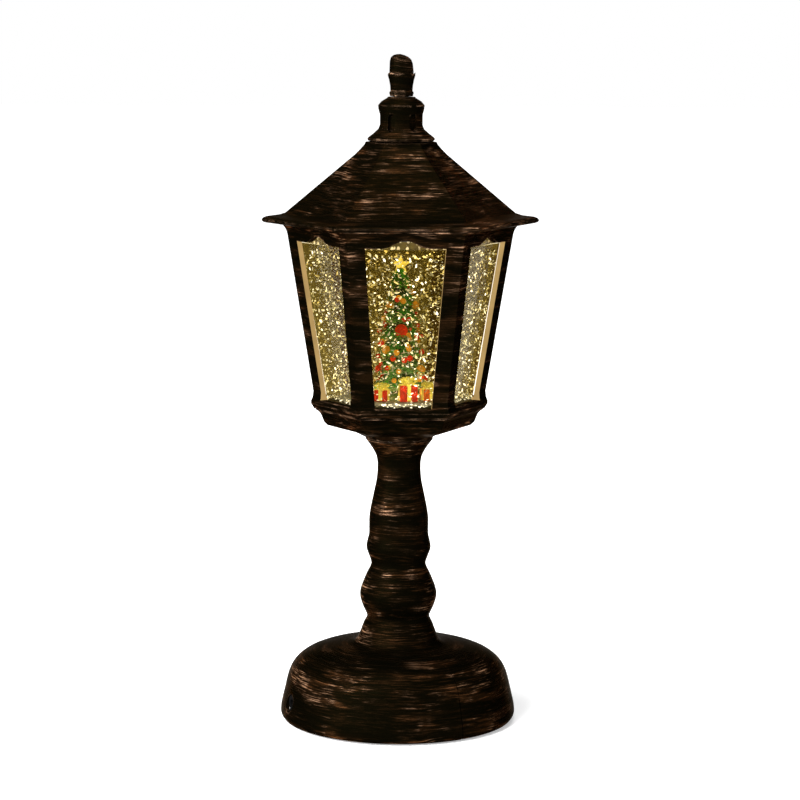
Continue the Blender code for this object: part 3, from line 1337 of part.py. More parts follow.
# The vent cap's outside: shares of the way between two of its radii, and of its height
HOOD_SHARES = ((0.0, 1.0), (0.08, 0.975), (0.66, 0.900), (1.0, 0.812), (0.98, 0.728))
DRUM_SHARES = (
    (0.00, 0.620),
    (0.00, 0.365),
    (0.13, 0.270),
    (0.46, 0.180),
    (0.88, 0.090),
    (1.00, 0.055),
    (0.97, 0.016),
    (0.90, 0.000),
)
DRUM_ROOM_SHARES = (0.72, 0.27)


def vent_outline():
    """A slot with round ends."""
    radius, sill = VENT_WIDTH / 2, CAP_BOTTOM + VENT_SILL
    centres = (sill + VENT_HEIGHT - radius, sill + radius)
    outline = []
    for side, centre in zip((1, -1), centres):
        for i in range(ARC_STEPS + 1):
            angle = pi * i / ARC_STEPS
            outline.append((side * radius * cos(angle), centre + side * radius * sin(angle)))
    return outline


def vent_cap():
    outline = [(0, CAP_TOP)]
    outline += moulding(HOOD_SHARES, CAP_TOP_RADIUS, HOOD_RADIUS, CAP_BOTTOM, CAP_HEIGHT)
    outline += moulding(DRUM_SHARES, DRUM_RADIUS, CAP_RING_RADIUS, CAP_BOTTOM, CAP_HEIGHT)
    spigot, bottom = ROOF_NECK_RADIUS * APOTHEM_SHARE - 2 * FIT, CAP_BOTTOM - CAP_SPIGOT
    drum_top, drum_low = (CAP_BOTTOM + CAP_HEIGHT * share for share in DRUM_ROOM_SHARES)
    outline += [
        (spigot, CAP_BOTTOM),
        (spigot, bottom),
        (spigot - CAP_SPIGOT_WALL, bottom),
        (spigot - CAP_SPIGOT_WALL, CAP_BOTTOM + FIT),
        (DRUM_RADIUS - CAP_WALL, drum_low),
        (DRUM_RADIUS - CAP_WALL, drum_top),
        (CAP_TOP_RADIUS - CAP_WALL / 2, CAP_TOP - CAP_CROWN),
        (0, CAP_TOP - CAP_CROWN),
    ]
    cap = turned("vent_cap", outline, "bronze_plastic", MEDIUM_STEPS)
    start, end = (0, 0, CAP_TOP - CAP_CROWN - OVERRUN), (0, 0, CAP_TOP + OVERRUN)
    cut(cap, rod("stud hole", STUD_RADIUS + FIT, start, end, steps=TINY_STEPS))
    near, far = DRUM_RADIUS - VENT_DEPTH, CAP_RING_RADIUS + OVERRUN
    for i in range(VENT_COUNT):
        vent = slab(f"vent {i}", vent_outline(), near, far)
        cut(cap, turn_about_z(vent, pi * (2 * i + 1) / VENT_COUNT))
    return shade(cap)


# The finial's outline, down from the tip of its bud: shares of each part's radius and of the height
BUD_SHARES = (
    (0.32, 0.985),
    (0.62, 0.955),
    (0.86, 0.895),
    (0.97, 0.800),
    (1.00, 0.680),
    (1.02, 0.580),
    (0.98, 0.515),
)
PETAL_SHARES = ((1.0, 0.545), (0.98, 0.480), (0.90, 0.390), (0.82, 0.250), (0.80, 0.140))
FINIAL_RING_SHARES = ((0.0, 0.125), (1.0, 0.095), (1.0, 0.050), (0.35, 0.020), (0.9, 0.0))


def finial():
    """A folded bud that leans out of a wavy cup of petals, over a stud for the cap."""
    bud = moulding(BUD_SHARES, 0, BUD_RADIUS, FINIAL_BOTTOM, FINIAL_HEIGHT)
    petals = moulding(PETAL_SHARES, 0, PETAL_RADIUS, FINIAL_BOTTOM, FINIAL_HEIGHT)
    neck, ring = FINIAL_NECK_RADIUS, FINIAL_RING_RADIUS
    outline = [(0, FINIAL_BOTTOM + FINIAL_HEIGHT)] + bud + petals
    outline += moulding(FINIAL_RING_SHARES, neck, ring, FINIAL_BOTTOM, FINIAL_HEIGHT)
    stud_end = FINIAL_BOTTOM - STUD_LENGTH
    outline += [(STUD_RADIUS, FINIAL_BOTTOM), (STUD_RADIUS, stud_end), (0, stud_end)]
    knob = realise(turned("finial", outline, "bronze_plastic", SMALL_STEPS))
    rim, crease, crown = petals[0][1], bud[-1][1], bud[0][1]
    for vertex in knob.data.vertices:
        x, y, z = vertex.co
        azimuth = Vector((x, y)).angle_signed(Vector((1, 0)), 0)
        if abs(z - rim) < FIT / 10 and hypot(x, y) > BUD_RADIUS:
            vertex.co.z += PETAL_WAVE * cos(PETAL_COUNT * azimuth)
        elif z > crease + FIT:
            rise = (z - crease) / (crown - crease)
            swell = 1 + BUD_SWELL_SHARE * rise * cos(BUD_FOLD_COUNT * azimuth + rise)
            vertex.co = x * swell - BUD_LEAN * rise, y * swell, z - BUD_TILT_SHARE * x * rise
    return shade(knob)


def main():
    clear_scene()
    post_shell("post_shell_left", 1)
    post_shell("post_shell_right", -1)
    base_plate()
    battery_door()
    battery_cells()
    contact_plates()
    base_fittings()
    slide_switch()
    dc_jack()
    control_board()
    wire_harness()
    lower_cup()
    motor_holder()
    motor()
    led_board()
    lantern_frame()
    water_tank()
    tank_lid()
    impeller()
    scene_plate()
    snow_mound()
    tree()
    tree_trunk()
    tree_star()
    baubles()
    gifts()
    roof()
    vent_cap()
    finial()


main()
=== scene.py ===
import random
from math import cos, hypot, pi, radians, sin, tau

import bmesh
import bpy
from bpy.props import FloatProperty, FloatVectorProperty, IntProperty, PointerProperty
from bpy.types import Operator, Panel, PropertyGroup
from mathutils import Matrix, Vector
from mathutils.bvhtree import BVHTree


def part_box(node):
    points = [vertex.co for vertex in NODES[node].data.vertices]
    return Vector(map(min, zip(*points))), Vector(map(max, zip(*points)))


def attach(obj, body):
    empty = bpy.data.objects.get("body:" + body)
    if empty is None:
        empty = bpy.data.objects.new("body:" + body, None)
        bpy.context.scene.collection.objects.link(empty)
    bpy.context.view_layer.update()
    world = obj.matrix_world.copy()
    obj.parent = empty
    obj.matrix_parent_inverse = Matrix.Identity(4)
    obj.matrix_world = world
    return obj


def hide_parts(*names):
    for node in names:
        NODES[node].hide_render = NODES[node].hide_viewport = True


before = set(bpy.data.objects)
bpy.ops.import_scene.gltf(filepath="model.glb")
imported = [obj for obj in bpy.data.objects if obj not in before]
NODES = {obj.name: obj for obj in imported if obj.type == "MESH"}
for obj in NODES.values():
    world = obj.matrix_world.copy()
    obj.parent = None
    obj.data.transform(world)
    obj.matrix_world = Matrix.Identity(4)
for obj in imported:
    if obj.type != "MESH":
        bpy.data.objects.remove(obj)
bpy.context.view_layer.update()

bl_info = {
    "name": "Water lantern",
    "version": (1, 0, 0),
    "blender": (4, 5, 0),
    "location": "View3D > Sidebar > Water lantern",
    "description": "Finishes, lit water, glitter and stage for the packed water lantern",
    "category": "Object",
}

TANK_LOW, TANK_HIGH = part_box("water_tank")
LID_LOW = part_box("tank_lid")[0]
PLATE_LOW, PLATE_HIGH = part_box("scene_plate")
MOUND_LOW, MOUND_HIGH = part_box("snow_mound")
TREE_LOW, TREE_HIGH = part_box("tree")
TREE_HEIGHT = TREE_HIGH.z - TREE_LOW.z
TREE_SWELL = 0.5
BAUBLE_LOW, BAUBLE_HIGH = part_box("bauble_1")
RED_BAUBLES = ("bauble_1", "bauble_4", "bauble_5")
TO_VIEWER = Vector((-0.05, -1.0, 0.12)).normalized()
SIDES = 6
SAME_POINT = 2e-6
DIM = (0.05, 0.05, 0.05)
WARM = (1.0, 0.80, 0.45)
WET_SHINE = 0.1


def tree_reach(share):
    """The tree's radius at a share of the way from its top to its foot."""
    return max(TREE_HIGH.x, -TREE_LOW.x) * share**TREE_SWELL


def nodes_named(start):
    return [name for name in sorted(NODES) if name.startswith(start)]


def around(radius, turn, level):
    """The point at a distance from the lantern's axis."""
    return Vector((radius * cos(turn), radius * sin(turn), level))


def times(colour, factor):
    return tuple(channel * factor for channel in colour)


def a_number(name, description, default, unit="NONE"):
    return FloatProperty(name=name, description=description, default=default, unit=unit)


def a_length(name, description, default):
    return a_number(name, description, default, "LENGTH")


def a_colour(name, description, default):
    return FloatVectorProperty(name=name, description=description, default=default, subtype="COLOR")


def a_count(name, description, default):
    return IntProperty(name=name, description=description, default=default)


class LanternFinish(PropertyGroup):
    """Colours and wear of the brushed bronze housing."""

    base: a_colour("Base coat", "Colour of the plastic under the bronze", (0.0013, 0.0011, 0.0004))
    stroke: a_colour("Bronze strokes", "Colour of the dry-brushed bronze", (0.098, 0.040, 0.015))
    # Also the colour of the painted highlight lines on level edges and of the painted glints.
    wear_and_highlight: a_colour("Worn edges", "Colour of the bronze on ridges and edges", (0.540, 0.315, 0.190))
    stroke_height: a_length("Stroke height", "Height of one stroke of the brush", 0.00062)
    stroke_length: a_length("Stroke length", "Length of one stroke of the brush", 0.012)
    seam: a_length("Seam", "Width of the joint between the two halves of the column", 0.0004)
    seam_turn: a_number("Seam's place", "Turn of the seam round the column", radians(-60), "ROTATION")
    shell_wall: a_length("Shell wall", "Thickness of the column's shells", 0.0015)
    edge_round: a_length("Edge rounding", "Radius of the moulded edges of the head", 0.0003)


class LanternWater(PropertyGroup):
    """The lit water and the glitter in it."""

    gap: a_length("Gap", "Clearance between the water and the inside of the tank", 0.00012)
    tint: a_colour("Tint", "Colour that the water soaks up least", (0.560, 0.498, 0.178))
    density: a_number("Density", "How strongly it soaks up the other colours, per metre", 108.0)
    haze: a_colour("Haze", "Light that the water itself gives off", (0.020, 0.015, 0.003))
    flakes: a_count("Flakes", "How many flakes of glitter swirl in the water", 6000)
    settled: a_count("Settled flakes", "How many more lie round the foot of the scene", 428)
    flake_size: a_length("Flake size", "Radius of the largest flakes", 0.00050)
    flake_glow: a_number("Flake glow", "How brightly the tank's lights catch the flakes", 3.4)
    seed: a_count("Seed", "Start of the random places", 11)


class LanternGarden(PropertyGroup):
    """The tree, its ornaments, the gifts and the snow."""

    needle: a_colour("Needles", "Colour of the tree", (0.018, 0.170, 0.020))
    snow: a_colour("Snow", "Colour of the snow", (0.85, 0.86, 0.84))
    red: a_colour("Red", "Red of baubles and gifts", (0.72, 0.03, 0.015))
    orange: a_colour("Orange", "Orange of the third gift", (0.85, 0.16, 0.03))
    gold: a_colour("Gold", "Gold of baubles", (0.85, 0.40, 0.06))
    yellow: a_colour("Yellow", "Yellow of star and ribbons", (0.85, 0.76, 0.16))
    beads: a_count("Beads", "Small beads on the tree", 84)
    fronds: a_count("Fronds", "Branches in the widest layer", 18)
    tiers: a_count("Tiers", "Tiers of the tree", 7)
    glow: a_number("Glow", "How brightly the lights catch the scene", 0.34)


class LanternStage(PropertyGroup):
    """Camera, lamps and floor."""

    lens: a_number("Lens", "Focal length in millimetres", 126.0)
    distance: a_length("Distance", "Camera's distance from the lantern's axis", 1.11115)
    height: a_length("Height", "Camera's height over the floor", 0.29293)
    turn: a_number("Turn", "Turn of the camera round the lantern", radians(2.96), "ROTATION")
    dip: a_number("Dip", "How far the camera looks down", 0.1454, "ROTATION")
    roll: a_number("Roll", "Roll of the camera", 0.0065, "ROTATION")
    shift: a_number("Shift", "Sideways shift as a share of the frame", 0.5 / 800)
    ambient: a_number("Ambient", "Strength of the light from all round", 0.30)


class Value:
    """One value in a material: a socket of a node, to write sums with."""

    def __init__(self, graph, source):
        self.graph = graph
        self.source = source

    def sum(self, operation, *values):
        return self.graph.node("ShaderNodeMath", {"operation": operation}, dict(enumerate(values)))

    def __add__(self, other):
        return self.sum("ADD", self, other)

    def __radd__(self, other):
        return self.sum("ADD", other, self)

    def __sub__(self, other):
        return self.sum("SUBTRACT", self, other)

    def __rsub__(self, other):
        return self.sum("SUBTRACT", other, self)

    def __mul__(self, other):
        return self.sum("MULTIPLY", self, other)

    def __rmul__(self, other):
        return self.sum("MULTIPLY", other, self)

    def __truediv__(self, other):
        return self.sum("DIVIDE", self, other)

    def __pow__(self, other):
        return self.sum("POWER", self, other)

    def __abs__(self):
        return self.sum("ABSOLUTE", self)

    def most(self, other):
        return self.sum("MAXIMUM", self, other)

    def clamp(self):
        return self.graph.node("ShaderNodeClamp", {}, {"Value": self})

    def rise(self, low, high):
        """0 below low, 1 above high and a smooth step between them."""
        inputs = {"Value": self, "From Min": low, "From Max": high}
        return self.graph.node("ShaderNodeMapRange", {"interpolation_type": "SMOOTHSTEP"}, inputs)

    def lifted(self, least):
        """The value squeezed from the range 0 to 1 into the range least to 1."""
        return least + (1 - least) * self


class Graph:
    """A tree of shader nodes."""

    def __init__(self, tree):
        self.tree = tree

    def node(self, kind, settings=None, inputs=None, output=0):
        """Adds a node: its settings first, then the values or links of its sockets."""
        node = self.tree.nodes.new(kind)
        for name, value in (settings or {}).items():
            if name == "stops":
                self.set_stops(node.color_ramp, value)
            else:
                setattr(node, name, value)
        for socket, value in (inputs or {}).items():
            self.feed(node.inputs[socket], value)
        return Value(self, node.outputs[output])

    def set_stops(self, ramp, stops):
        while len(ramp.elements) < len(stops):
            ramp.elements.new(1)
        for element, (position, colour) in zip(ramp.elements, stops):
            element.position = position
            element.color = (*colour, 1)

    def feed(self, socket, value):
        if isinstance(value, Value):
            self.tree.links.new(value.source, socket)
        elif socket.type == "RGBA" and len(value) == 3:
            socket.default_value = (*value, 1)
        else:
            socket.default_value = value

    def shown(self):
        """1 for a ray from the camera, from a reflection or through glass, 0 for any other."""
        kinds = ("Is Camera Ray", "Is Glossy Ray", "Is Transmission Ray")
        camera, glossy, glass = (self.node("ShaderNodeLightPath", output=kind) for kind in kinds)
        return camera.most(glossy).most(glass)


class Finish(Graph):
    """A material under way: its nodes, its Principled shader and the place on the surface."""

    def __init__(self, name, **constants):
        self.material = bpy.data.materials.new(name)
        self.material.use_nodes = True
        super().__init__(self.material.node_tree)
        self.shader = self.tree.nodes["Principled BSDF"]
        self.place = self.node("ShaderNodeTexCoord", output="Object")
        self.set(**constants)

    def set(self, **inputs):
        for socket, value in inputs.items():
            self.feed(self.shader.inputs[socket.replace("_", " ")], value)
        return self.material

    def noise(self, scale, detail=3.0, roughness=0.5, distortion=0.0, place=None):
        names = ("Vector", "Scale", "Detail", "Roughness", "Distortion")
        values = (place or self.place, scale, detail, roughness, distortion)
        return self.node("ShaderNodeTexNoise", {}, dict(zip(names, values)))

    def mix(self, share, first, second):
        """A colour between two others."""
        colours = {0: share, 6: first, 7: second}
        return self.node("ShaderNodeMix", {"data_type": "RGBA"}, colours, output=2)

    def stretched(self, *scales):
        """The place on the surface with each axis scaled by itself."""
        settings = {"operation": "MULTIPLY"}
        return self.node("ShaderNodeVectorMath", settings, {0: self.place, 1: scales})

    def axes(self, vector=None):
        node = self.node("ShaderNodeSeparateXYZ", {}, {0: vector or self.place})
        return [Value(self, output) for output in node.source.node.outputs]

    def geometry(self, output):
        return self.node("ShaderNodeNewGeometry", output=output)

    def facing(self):
        return self.axes(self.geometry("Normal"))

    def bump(self, height, distance, strength=1.0):
        inputs = {"Height": height, "Distance": distance, "Strength": strength}
        return self.node("ShaderNodeBump", {}, inputs)

    def level_edges(self, radius, low, high):
        """1 on edges that run level, where a rounded normal leans up or down from the real one."""
        rounded_normal = self.node("ShaderNodeBevel", {"samples": 6}, {"Radius": radius})
        inputs = {0: rounded_normal, 1: self.geometry("Normal")}
        lean = self.node("ShaderNodeVectorMath", {"operation": "SUBTRACT"}, inputs)
        return abs(self.axes(lean)[2]).rise(low, high)


def bronze_finish(name, settings, flat_sides):
    """Dark plastic, dry-brushed with bronze in strokes that run level around the lantern."""
    finish = Finish(name, Specular_IOR_Level=0.0, Specular_Tint=(0.40, 0.34, 0.28))
    x, y, z = finish.axes()
    if flat_sides:
        across, along = x * cos(pi / SIDES), y * sin(pi / SIDES)
        radius = abs(along + across).most(abs(along - across)).most(abs(y))
    else:
        radius = (x * x + y * y) ** 0.5
    slope, wander = 0.85, 0.003
    rise = (z - radius * slope + finish.noise(38.0, 2.0) * wander) / settings.stroke_height

    def streaks(round_scale, up_scale, *detail):
        """Noise drawn out around the lantern."""
        place = {0: x * round_scale, 1: y * round_scale, 2: rise * up_scale}
        return finish.noise(1.0, *detail, place=finish.node("ShaderNodeCombineXYZ", {}, place))

    # Strokes of the brush, the hairs within them, and the broad swipes where it touched down.
    brush = 1 / settings.stroke_length
    strokes = streaks(brush, 1.0, 6.0, 0.66, 0.15).rise(0.45, 0.62)
    hairs = streaks(brush * 1.3, 1.7, 4.0, 0.62).rise(0.47, 0.60)
    swipes = streaks(40.0, settings.stroke_height * 230, 4.0, 0.60).rise(0.44, 0.64)
    swipes = swipes * finish.noise(40.0, 2.0).rise(0.42, 0.60).lifted(0.16)
    # A dry brush catches less on upright and on level faces.
    tilt = finish.facing()[2]
    sloping = abs(tilt).rise(0.05, 0.50).lifted(0.14 if flat_sides else 0.24)
    catch = sloping * (1 - 0.8 * tilt.rise(0.80, 0.97))
    # Rubbed bronze on edges that run level, lightened into painted highlight lines.
    wear_and_highlight = finish.level_edges(0.0009, 0.10, 0.45) * finish.noise(260.0, 5.0, 0.7).rise(0.40, 0.60)
    wear_and_highlight = wear_and_highlight * (0.15 + 0.65 * finish.noise(70.0).rise(0.46, 0.60))
    if not flat_sides:
        turn, seam = settings.seam_turn, settings.seam
        beside_seam = abs(x * sin(turn) - y * cos(turn)).rise(seam * 2, seam * 4)
        wear_and_highlight = wear_and_highlight * beside_seam
    brushed = (strokes * swipes.lifted(0.08) * hairs.lifted(0.08) * catch * 1.3).clamp()
    # Painted glints: spots where strokes, hairs and swipes overlap are lightened toward the edge colour as
    # painted highlights.
    glint_spots = finish.noise(110.0, 3.0, 0.6).rise(0.47, 0.62)
    painted_glint = (swipes * hairs * strokes * catch * glint_spots * 2.0).clamp()
    coat = finish.mix(swipes * 0.05, settings.base, settings.stroke)
    coat = finish.mix(brushed, coat, settings.stroke)
    coat = finish.mix(painted_glint * 0.55, coat, settings.wear_and_highlight)
    colour = finish.mix((wear_and_highlight * hairs.lifted(0.45)).clamp() * 0.85, coat, settings.wear_and_highlight)
    grain = finish.noise(2600.0, 2.0, 0.6)
    waves = finish.noise(170.0)
    height = waves * 0.5 + strokes * 0.25 + hairs * 0.22 + grain * 0.05
    if flat_sides:
        finish.set(Emission_Color=inner_glow(finish, x, y, waves), Emission_Strength=1.0)
    return finish.set(
        Base_Color=colour,
        Metallic=0.35 + brushed * 0.15 + painted_glint * 0.35,
        Roughness=0.34 + 0.10 * waves - 0.12 * hairs * swipes,
        Normal=finish.bump(height, 0.00016, 0.6),
    )


def inner_glow(finish, x, y, waves):
    """The warm light of the tank on the faces that look at it."""
    facing = finish.facing()
    square = x * x + y * y
    inward = 0 - (x * facing[0] + y * facing[1]) / square**0.5
    beside_tank = square.rise(0.0006, 0.0008)
    inside = inward.rise(0.1, 0.4) * beside_tank
    return finish.mix(inside * waves.lifted(0.5), (0, 0, 0), (0.66, 0.43, 0.16))


def moulded_finish(
    name, colour, roughness, grain=1800.0, depth=0.00003, metallic=0.0, glow=0.0, gloss=0.5
):
    """Moulded plastic, rubber or metal with a fine grain and slight unevenness."""
    finish = Finish(name, Metallic=metallic, Specular_IOR_Level=gloss, Emission_Strength=glow)
    fine = finish.noise(grain, 3.0, 0.6)
    broad = finish.noise(120.0)
    dark = times(colour, 0.78)
    if glow:
        finish.set(Emission_Color=finish.mix(broad, dark, colour))
    return finish.set(
        Base_Color=finish.mix(broad * 0.6 + fine * 0.4, dark, colour),
        Roughness=roughness - 0.06 + 0.12 * fine,
        Normal=finish.bump(fine, depth),
    )


def tank_finish(name):
    """Clear acrylic with the faint flow marks of moulding."""
    finish = Finish(name, IOR=1.06, Transmission_Weight=1.0, Specular_Tint=DIM)
    flow = finish.noise(90.0, 2.0)
    return finish.set(
        Base_Color=(1.0, 0.95, 0.82),
        Roughness=0.01 + 0.02 * flow,
        Normal=finish.bump(flow, 0.00003, 0.25),
    )


def water_finish(name, settings):
    """Clear water that soaks up blue and gives off a faint warm haze."""
    finish = Finish(name, IOR=1.11, Transmission_Weight=1.0, Specular_Tint=DIM, Emission_Strength=1.0)
    absorption = {"Color": settings.tint, "Density": settings.density}
    volume = finish.node("ShaderNodeVolumeAbsorption", {}, absorption)
    finish.feed(finish.tree.nodes["Material Output"].inputs["Volume"], volume)
    ripple = finish.noise(60.0, 2.0)
    return finish.set(
        Base_Color=(1.0, 1.0, 1.0),
        Roughness=0.005 + 0.01 * ripple,
        Emission_Color=finish.mix(ripple, times(settings.haze, 0.6), settings.haze),
    )


def lid_finish(name):
    """The white lid painted as the lit water shows it: dark olive painted shade, glowing glitter specks.
    """
    finish = Finish(name, Specular_IOR_Level=WET_SHINE, Emission_Strength=0.45)
    cells = {"Vector": finish.stretched(1, 1, 0.6), "Scale": 620.0}
    near = finish.node("ShaderNodeTexVoronoi", {}, cells)
    kind = finish.axes(finish.node("ShaderNodeTexVoronoi", {}, cells, output=1))[0]
    specks = (1 - near.rise(0.30, 0.46)) * kind.rise(0.20, 0.50)
    drift = finish.noise(300.0, 3.0, 0.6)
    # Painted shade and glow: the white lid is painted dark olive with pale glitter specks, and it glows
    # though it is no lamp.
    colour = finish.mix(drift, (0.012, 0.009, 0.002), (0.11, 0.08, 0.022))
    colour = finish.mix(specks, colour, (0.60, 0.50, 0.29))
    return finish.set(Base_Color=colour, Emission_Color=colour, Roughness=0.35 + 0.3 * drift)


def flake_finish(name, settings):
    """Pale flakes, each painted with its own brightness from dull gold to warm white as painted glints."""
    finish = Finish(name, Specular_IOR_Level=0.15, Emission_Strength=settings.flake_glow)
    stops = [
        (0.0, (0.09, 0.08, 0.05)),
        (0.30, (0.32, 0.31, 0.25)),
        (0.65, (0.86, 0.82, 0.71)),
        (1.0, (0.98, 0.95, 0.88)),
    ]
    # Painted glints: a random brightness for each flake stands in for how it catches the tank's lights.
    flake_glint = finish.geometry("Random Per Island") ** 1.6
    colour = finish.node("ShaderNodeValToRGB", {"stops": stops}, {0: flake_glint})
    mottle = finish.noise(2400.0, 2.0)
    return finish.set(
        Base_Color=colour,
        Emission_Color=finish.mix(mottle.lifted(0.75), (0.1, 0.08, 0.02), colour),
        Roughness=0.2 + 0.2 * mottle,
    )


def needle_finish(name, settings):
    """Plastic needles, pale green where the light catches them and dusted with snow on top."""
    finish = Finish(name, Specular_IOR_Level=WET_SHINE, Emission_Strength=settings.glow * 1.5)
    clumps = finish.noise(330.0, 3.0, 0.6)
    fine = finish.noise(1500.0, 4.0, 0.7)
    shares = finish.geometry("Random Per Island")
    x, y, z = finish.axes()
    taper = ((TREE_HIGH.z + 0.001 - z) / TREE_HEIGHT) ** TREE_SWELL
    outer = ((x * x + y * y) ** 0.5 / (taper * TREE_HIGH.x)).rise(0.25, 0.95)
    lit = (clumps * 0.5 + shares * 0.4 + outer * 0.4).rise(0.42, 0.98)
    green = finish.mix(lit, times(settings.needle, 0.10), times(settings.needle, 2.8))
    upward = finish.facing()[2]
    dusting = (upward * 0.5 + fine).rise(0.86, 1.04)
    colour = finish.mix(dusting * 0.45, green, settings.snow)
    return finish.set(
        Base_Color=colour,
        Emission_Color=colour,
        Roughness=0.45 + 0.3 * fine,
        Normal=finish.bump(fine, 0.00012),
    )


def snow_finish(name, settings, glow, lightness):
    """Crusted snow with glossy grains."""
    finish = Finish(name, Specular_IOR_Level=WET_SHINE, Emission_Strength=glow)
    crust = finish.noise(900.0, 4.0, 0.65)
    sparkle = finish.noise(5200.0, 1.0).rise(0.66, 0.72)
    snow = times(settings.snow, lightness)
    colour = finish.mix(crust.rise(0.3, 0.7), times(snow, 0.6), snow)
    return finish.set(
        Base_Color=colour,
        Emission_Color=colour,
        Roughness=0.85 - 0.5 * sparkle,
        Normal=finish.bump(crust, 0.00025),
    )


def paint_finish(name, paint, glow, roughness=0.3, metallic=0.0):
    """Glossy paint with slight runs and specks, seen under water and lit from below."""
    finish = Finish(name, Metallic=metallic, Specular_IOR_Level=0.2, Emission_Strength=glow)
    runs = finish.noise(420.0, 3.0, 0.6)
    colour = finish.mix(runs.rise(0.3, 0.7), times(paint, 0.6), paint)
    return finish.set(
        Base_Color=colour,
        Emission_Color=colour,
        Roughness=roughness + 0.1 * runs,
        Coat_Weight=0.5 + 0.3 * runs,
        Coat_Roughness=0.1,
        Coat_IOR=1.15,
        Normal=finish.bump(runs, 0.00005),
    )


def board_finish(name):
    """Circuit board with traces under its green mask."""
    finish = Finish(name)
    pattern = {
        "Vector": finish.stretched(1, 1, 0),
        "Scale": 260.0,
        "Mortar Size": 0.06,
        "Color1": (0.01, 0.10, 0.04),
        "Color2": (0.012, 0.13, 0.05),
        "Mortar": (0.06, 0.26, 0.10),
    }
    traces = finish.node("ShaderNodeTexBrick", {"offset": 0.5}, pattern)
    fine = finish.noise(1400.0)
    return finish.set(Base_Color=traces, Roughness=0.35 + 0.2 * fine, Normal=finish.bump(fine, 0.00003))


def sleeve_finish(name, positive):
    """Battery: a dark sleeve with a copper-coloured band at its positive end, bare at both tips."""
    finish = Finish(name)
    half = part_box("battery_cell_2")[1].y
    y = finish.axes()[1]
    fine = finish.noise(1200.0)
    band = (y * positive).rise(half * 0.58, half * 0.60)
    tip = abs(y).rise(half * 0.94, half * 0.95)
    sleeve = finish.mix(band, (0.02, 0.022, 0.025), (0.45, 0.20, 0.06))
    return finish.set(
        Base_Color=finish.mix(tip, sleeve, (0.6, 0.6, 0.6)),
        Metallic=tip.lifted(0.5),
        Roughness=0.25 + 0.12 * fine,
        Normal=finish.bump(fine, 0.00002),
    )


def dress(name, material, rounding=0.00015):
    """Gives a carried-over node its finish, and rounds its edges."""
    obj = NODES[name]
    obj.data.materials.clear()
    obj.data.materials.append(material)
    normals = obj.data.attributes.get("custom_normal")
    if normals:
        obj.data.attributes.remove(normals)
    obj.data.shade_smooth()
    obj.modifiers.new("Joined points", "WELD").merge_threshold = SAME_POINT
    merged = obj.modifiers.new("Merged facets", "DECIMATE")
    merged.decimate_type = "DISSOLVE"
    merged.angle_limit = radians(0.5)
    round_edges(obj, rounding)


def round_edges(obj, width):
    bevel = obj.modifiers.new("Rounded edges", "BEVEL")
    bevel.width = width
    bevel.segments = 2
    bevel.limit_method = "ANGLE"
    bevel.angle_limit = radians(24)
    bevel.harden_normals = True


def shade(obj, sharp=radians(35)):
    """Smooth, apart from edges that turn by more than the sharp angle."""
    obj.data.shade_smooth()
    obj.data.set_sharp_from_angle(angle=sharp)


def placed(name, data):
    obj = bpy.data.objects.new(name, data)
    bpy.context.scene.collection.objects.link(obj)
    return obj


def meshed(name, shape, *materials):
    """An object with the bmesh as its mesh."""
    mesh = bpy.data.meshes.new(name)
    shape.to_mesh(mesh)
    shape.free()
    for material in materials:
        mesh.materials.append(material)
    return placed(name, mesh)


def piece(name, shape, material, replaces=None):
    """Makes a piece of a bmesh, on the lantern's fixed body."""
    obj = meshed(name, shape, material)
    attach(obj, "lantern")
    if replaces:
        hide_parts(replaces)
    return obj


def rounded(name, source, material, width):
    """A copy of a node with its facets merged and its edges rounded, which stands in for the node."""
    shape = bmesh.new()
    shape.from_mesh(NODES[source].data)
    bmesh.ops.remove_doubles(shape, verts=shape.verts, dist=SAME_POINT)
    bmesh.ops.dissolve_limit(shape, angle_limit=radians(0.6), verts=shape.verts, edges=shape.edges)
    obj = piece(name, shape, material, source)
    round_edges(obj, width)
    shade(obj)


def ring(shape, radius, level, count):
    """Points spaced evenly round the lantern's axis."""
    return [shape.verts.new(around(radius, tau * i / count, level)) for i in range(count)]


def loft(shape, rings):
    """Joins rings of points into one skin, closed by a flat face at each end."""
    for lower, upper in zip(rings, rings[1:]):
        for i in range(len(lower)):
            shape.faces.new((lower[i - 1], lower[i], upper[i], upper[i - 1]))
    shape.faces.new(list(reversed(rings[0])))
    shape.faces.new(rings[-1])


def strip(shape, rows):
    """A ribbon through rows of a middle and half the ribbon's width, both as vectors."""
    edges = [[shape.verts.new(middle + half * side) for side in (-1, 1)] for middle, half in rows]
    for here, there in zip(edges, edges[1:]):
        shape.faces.new((here[0], here[1], there[1], there[0]))


def sphere(shape, centre, radius, rings=12, segments=18):
    made = bmesh.ops.create_uvsphere(shape, u_segments=segments, v_segments=rings, radius=radius)
    bmesh.ops.translate(shape, vec=centre, verts=made["verts"])


def exposed_outline(name, top):
    """(radius, level) up the outside of a turned node: what a ray from it leaves without a hit."""
    mesh = NODES[name].data
    faces = BVHTree.FromPolygons([v.co for v in mesh.vertices], [p.vertices for p in mesh.polygons])
    widest = {}
    for face in mesh.polygons:
        away = Vector((face.center.x, face.center.y, 0)).normalized()
        faces_out = face.normal.dot(away) >= 0.05
        if not faces_out or faces.ray_cast(face.center + face.normal * 1e-5, face.normal)[0]:
            continue
        for point in (mesh.vertices[i].co for i in face.vertices):
            level = round(point.z, 5)
            if level < top:
                widest[level] = max(widest.get(level, 0), hypot(point.x, point.y))
    return [Vector((radius, level)) for level, radius in sorted(widest.items())]


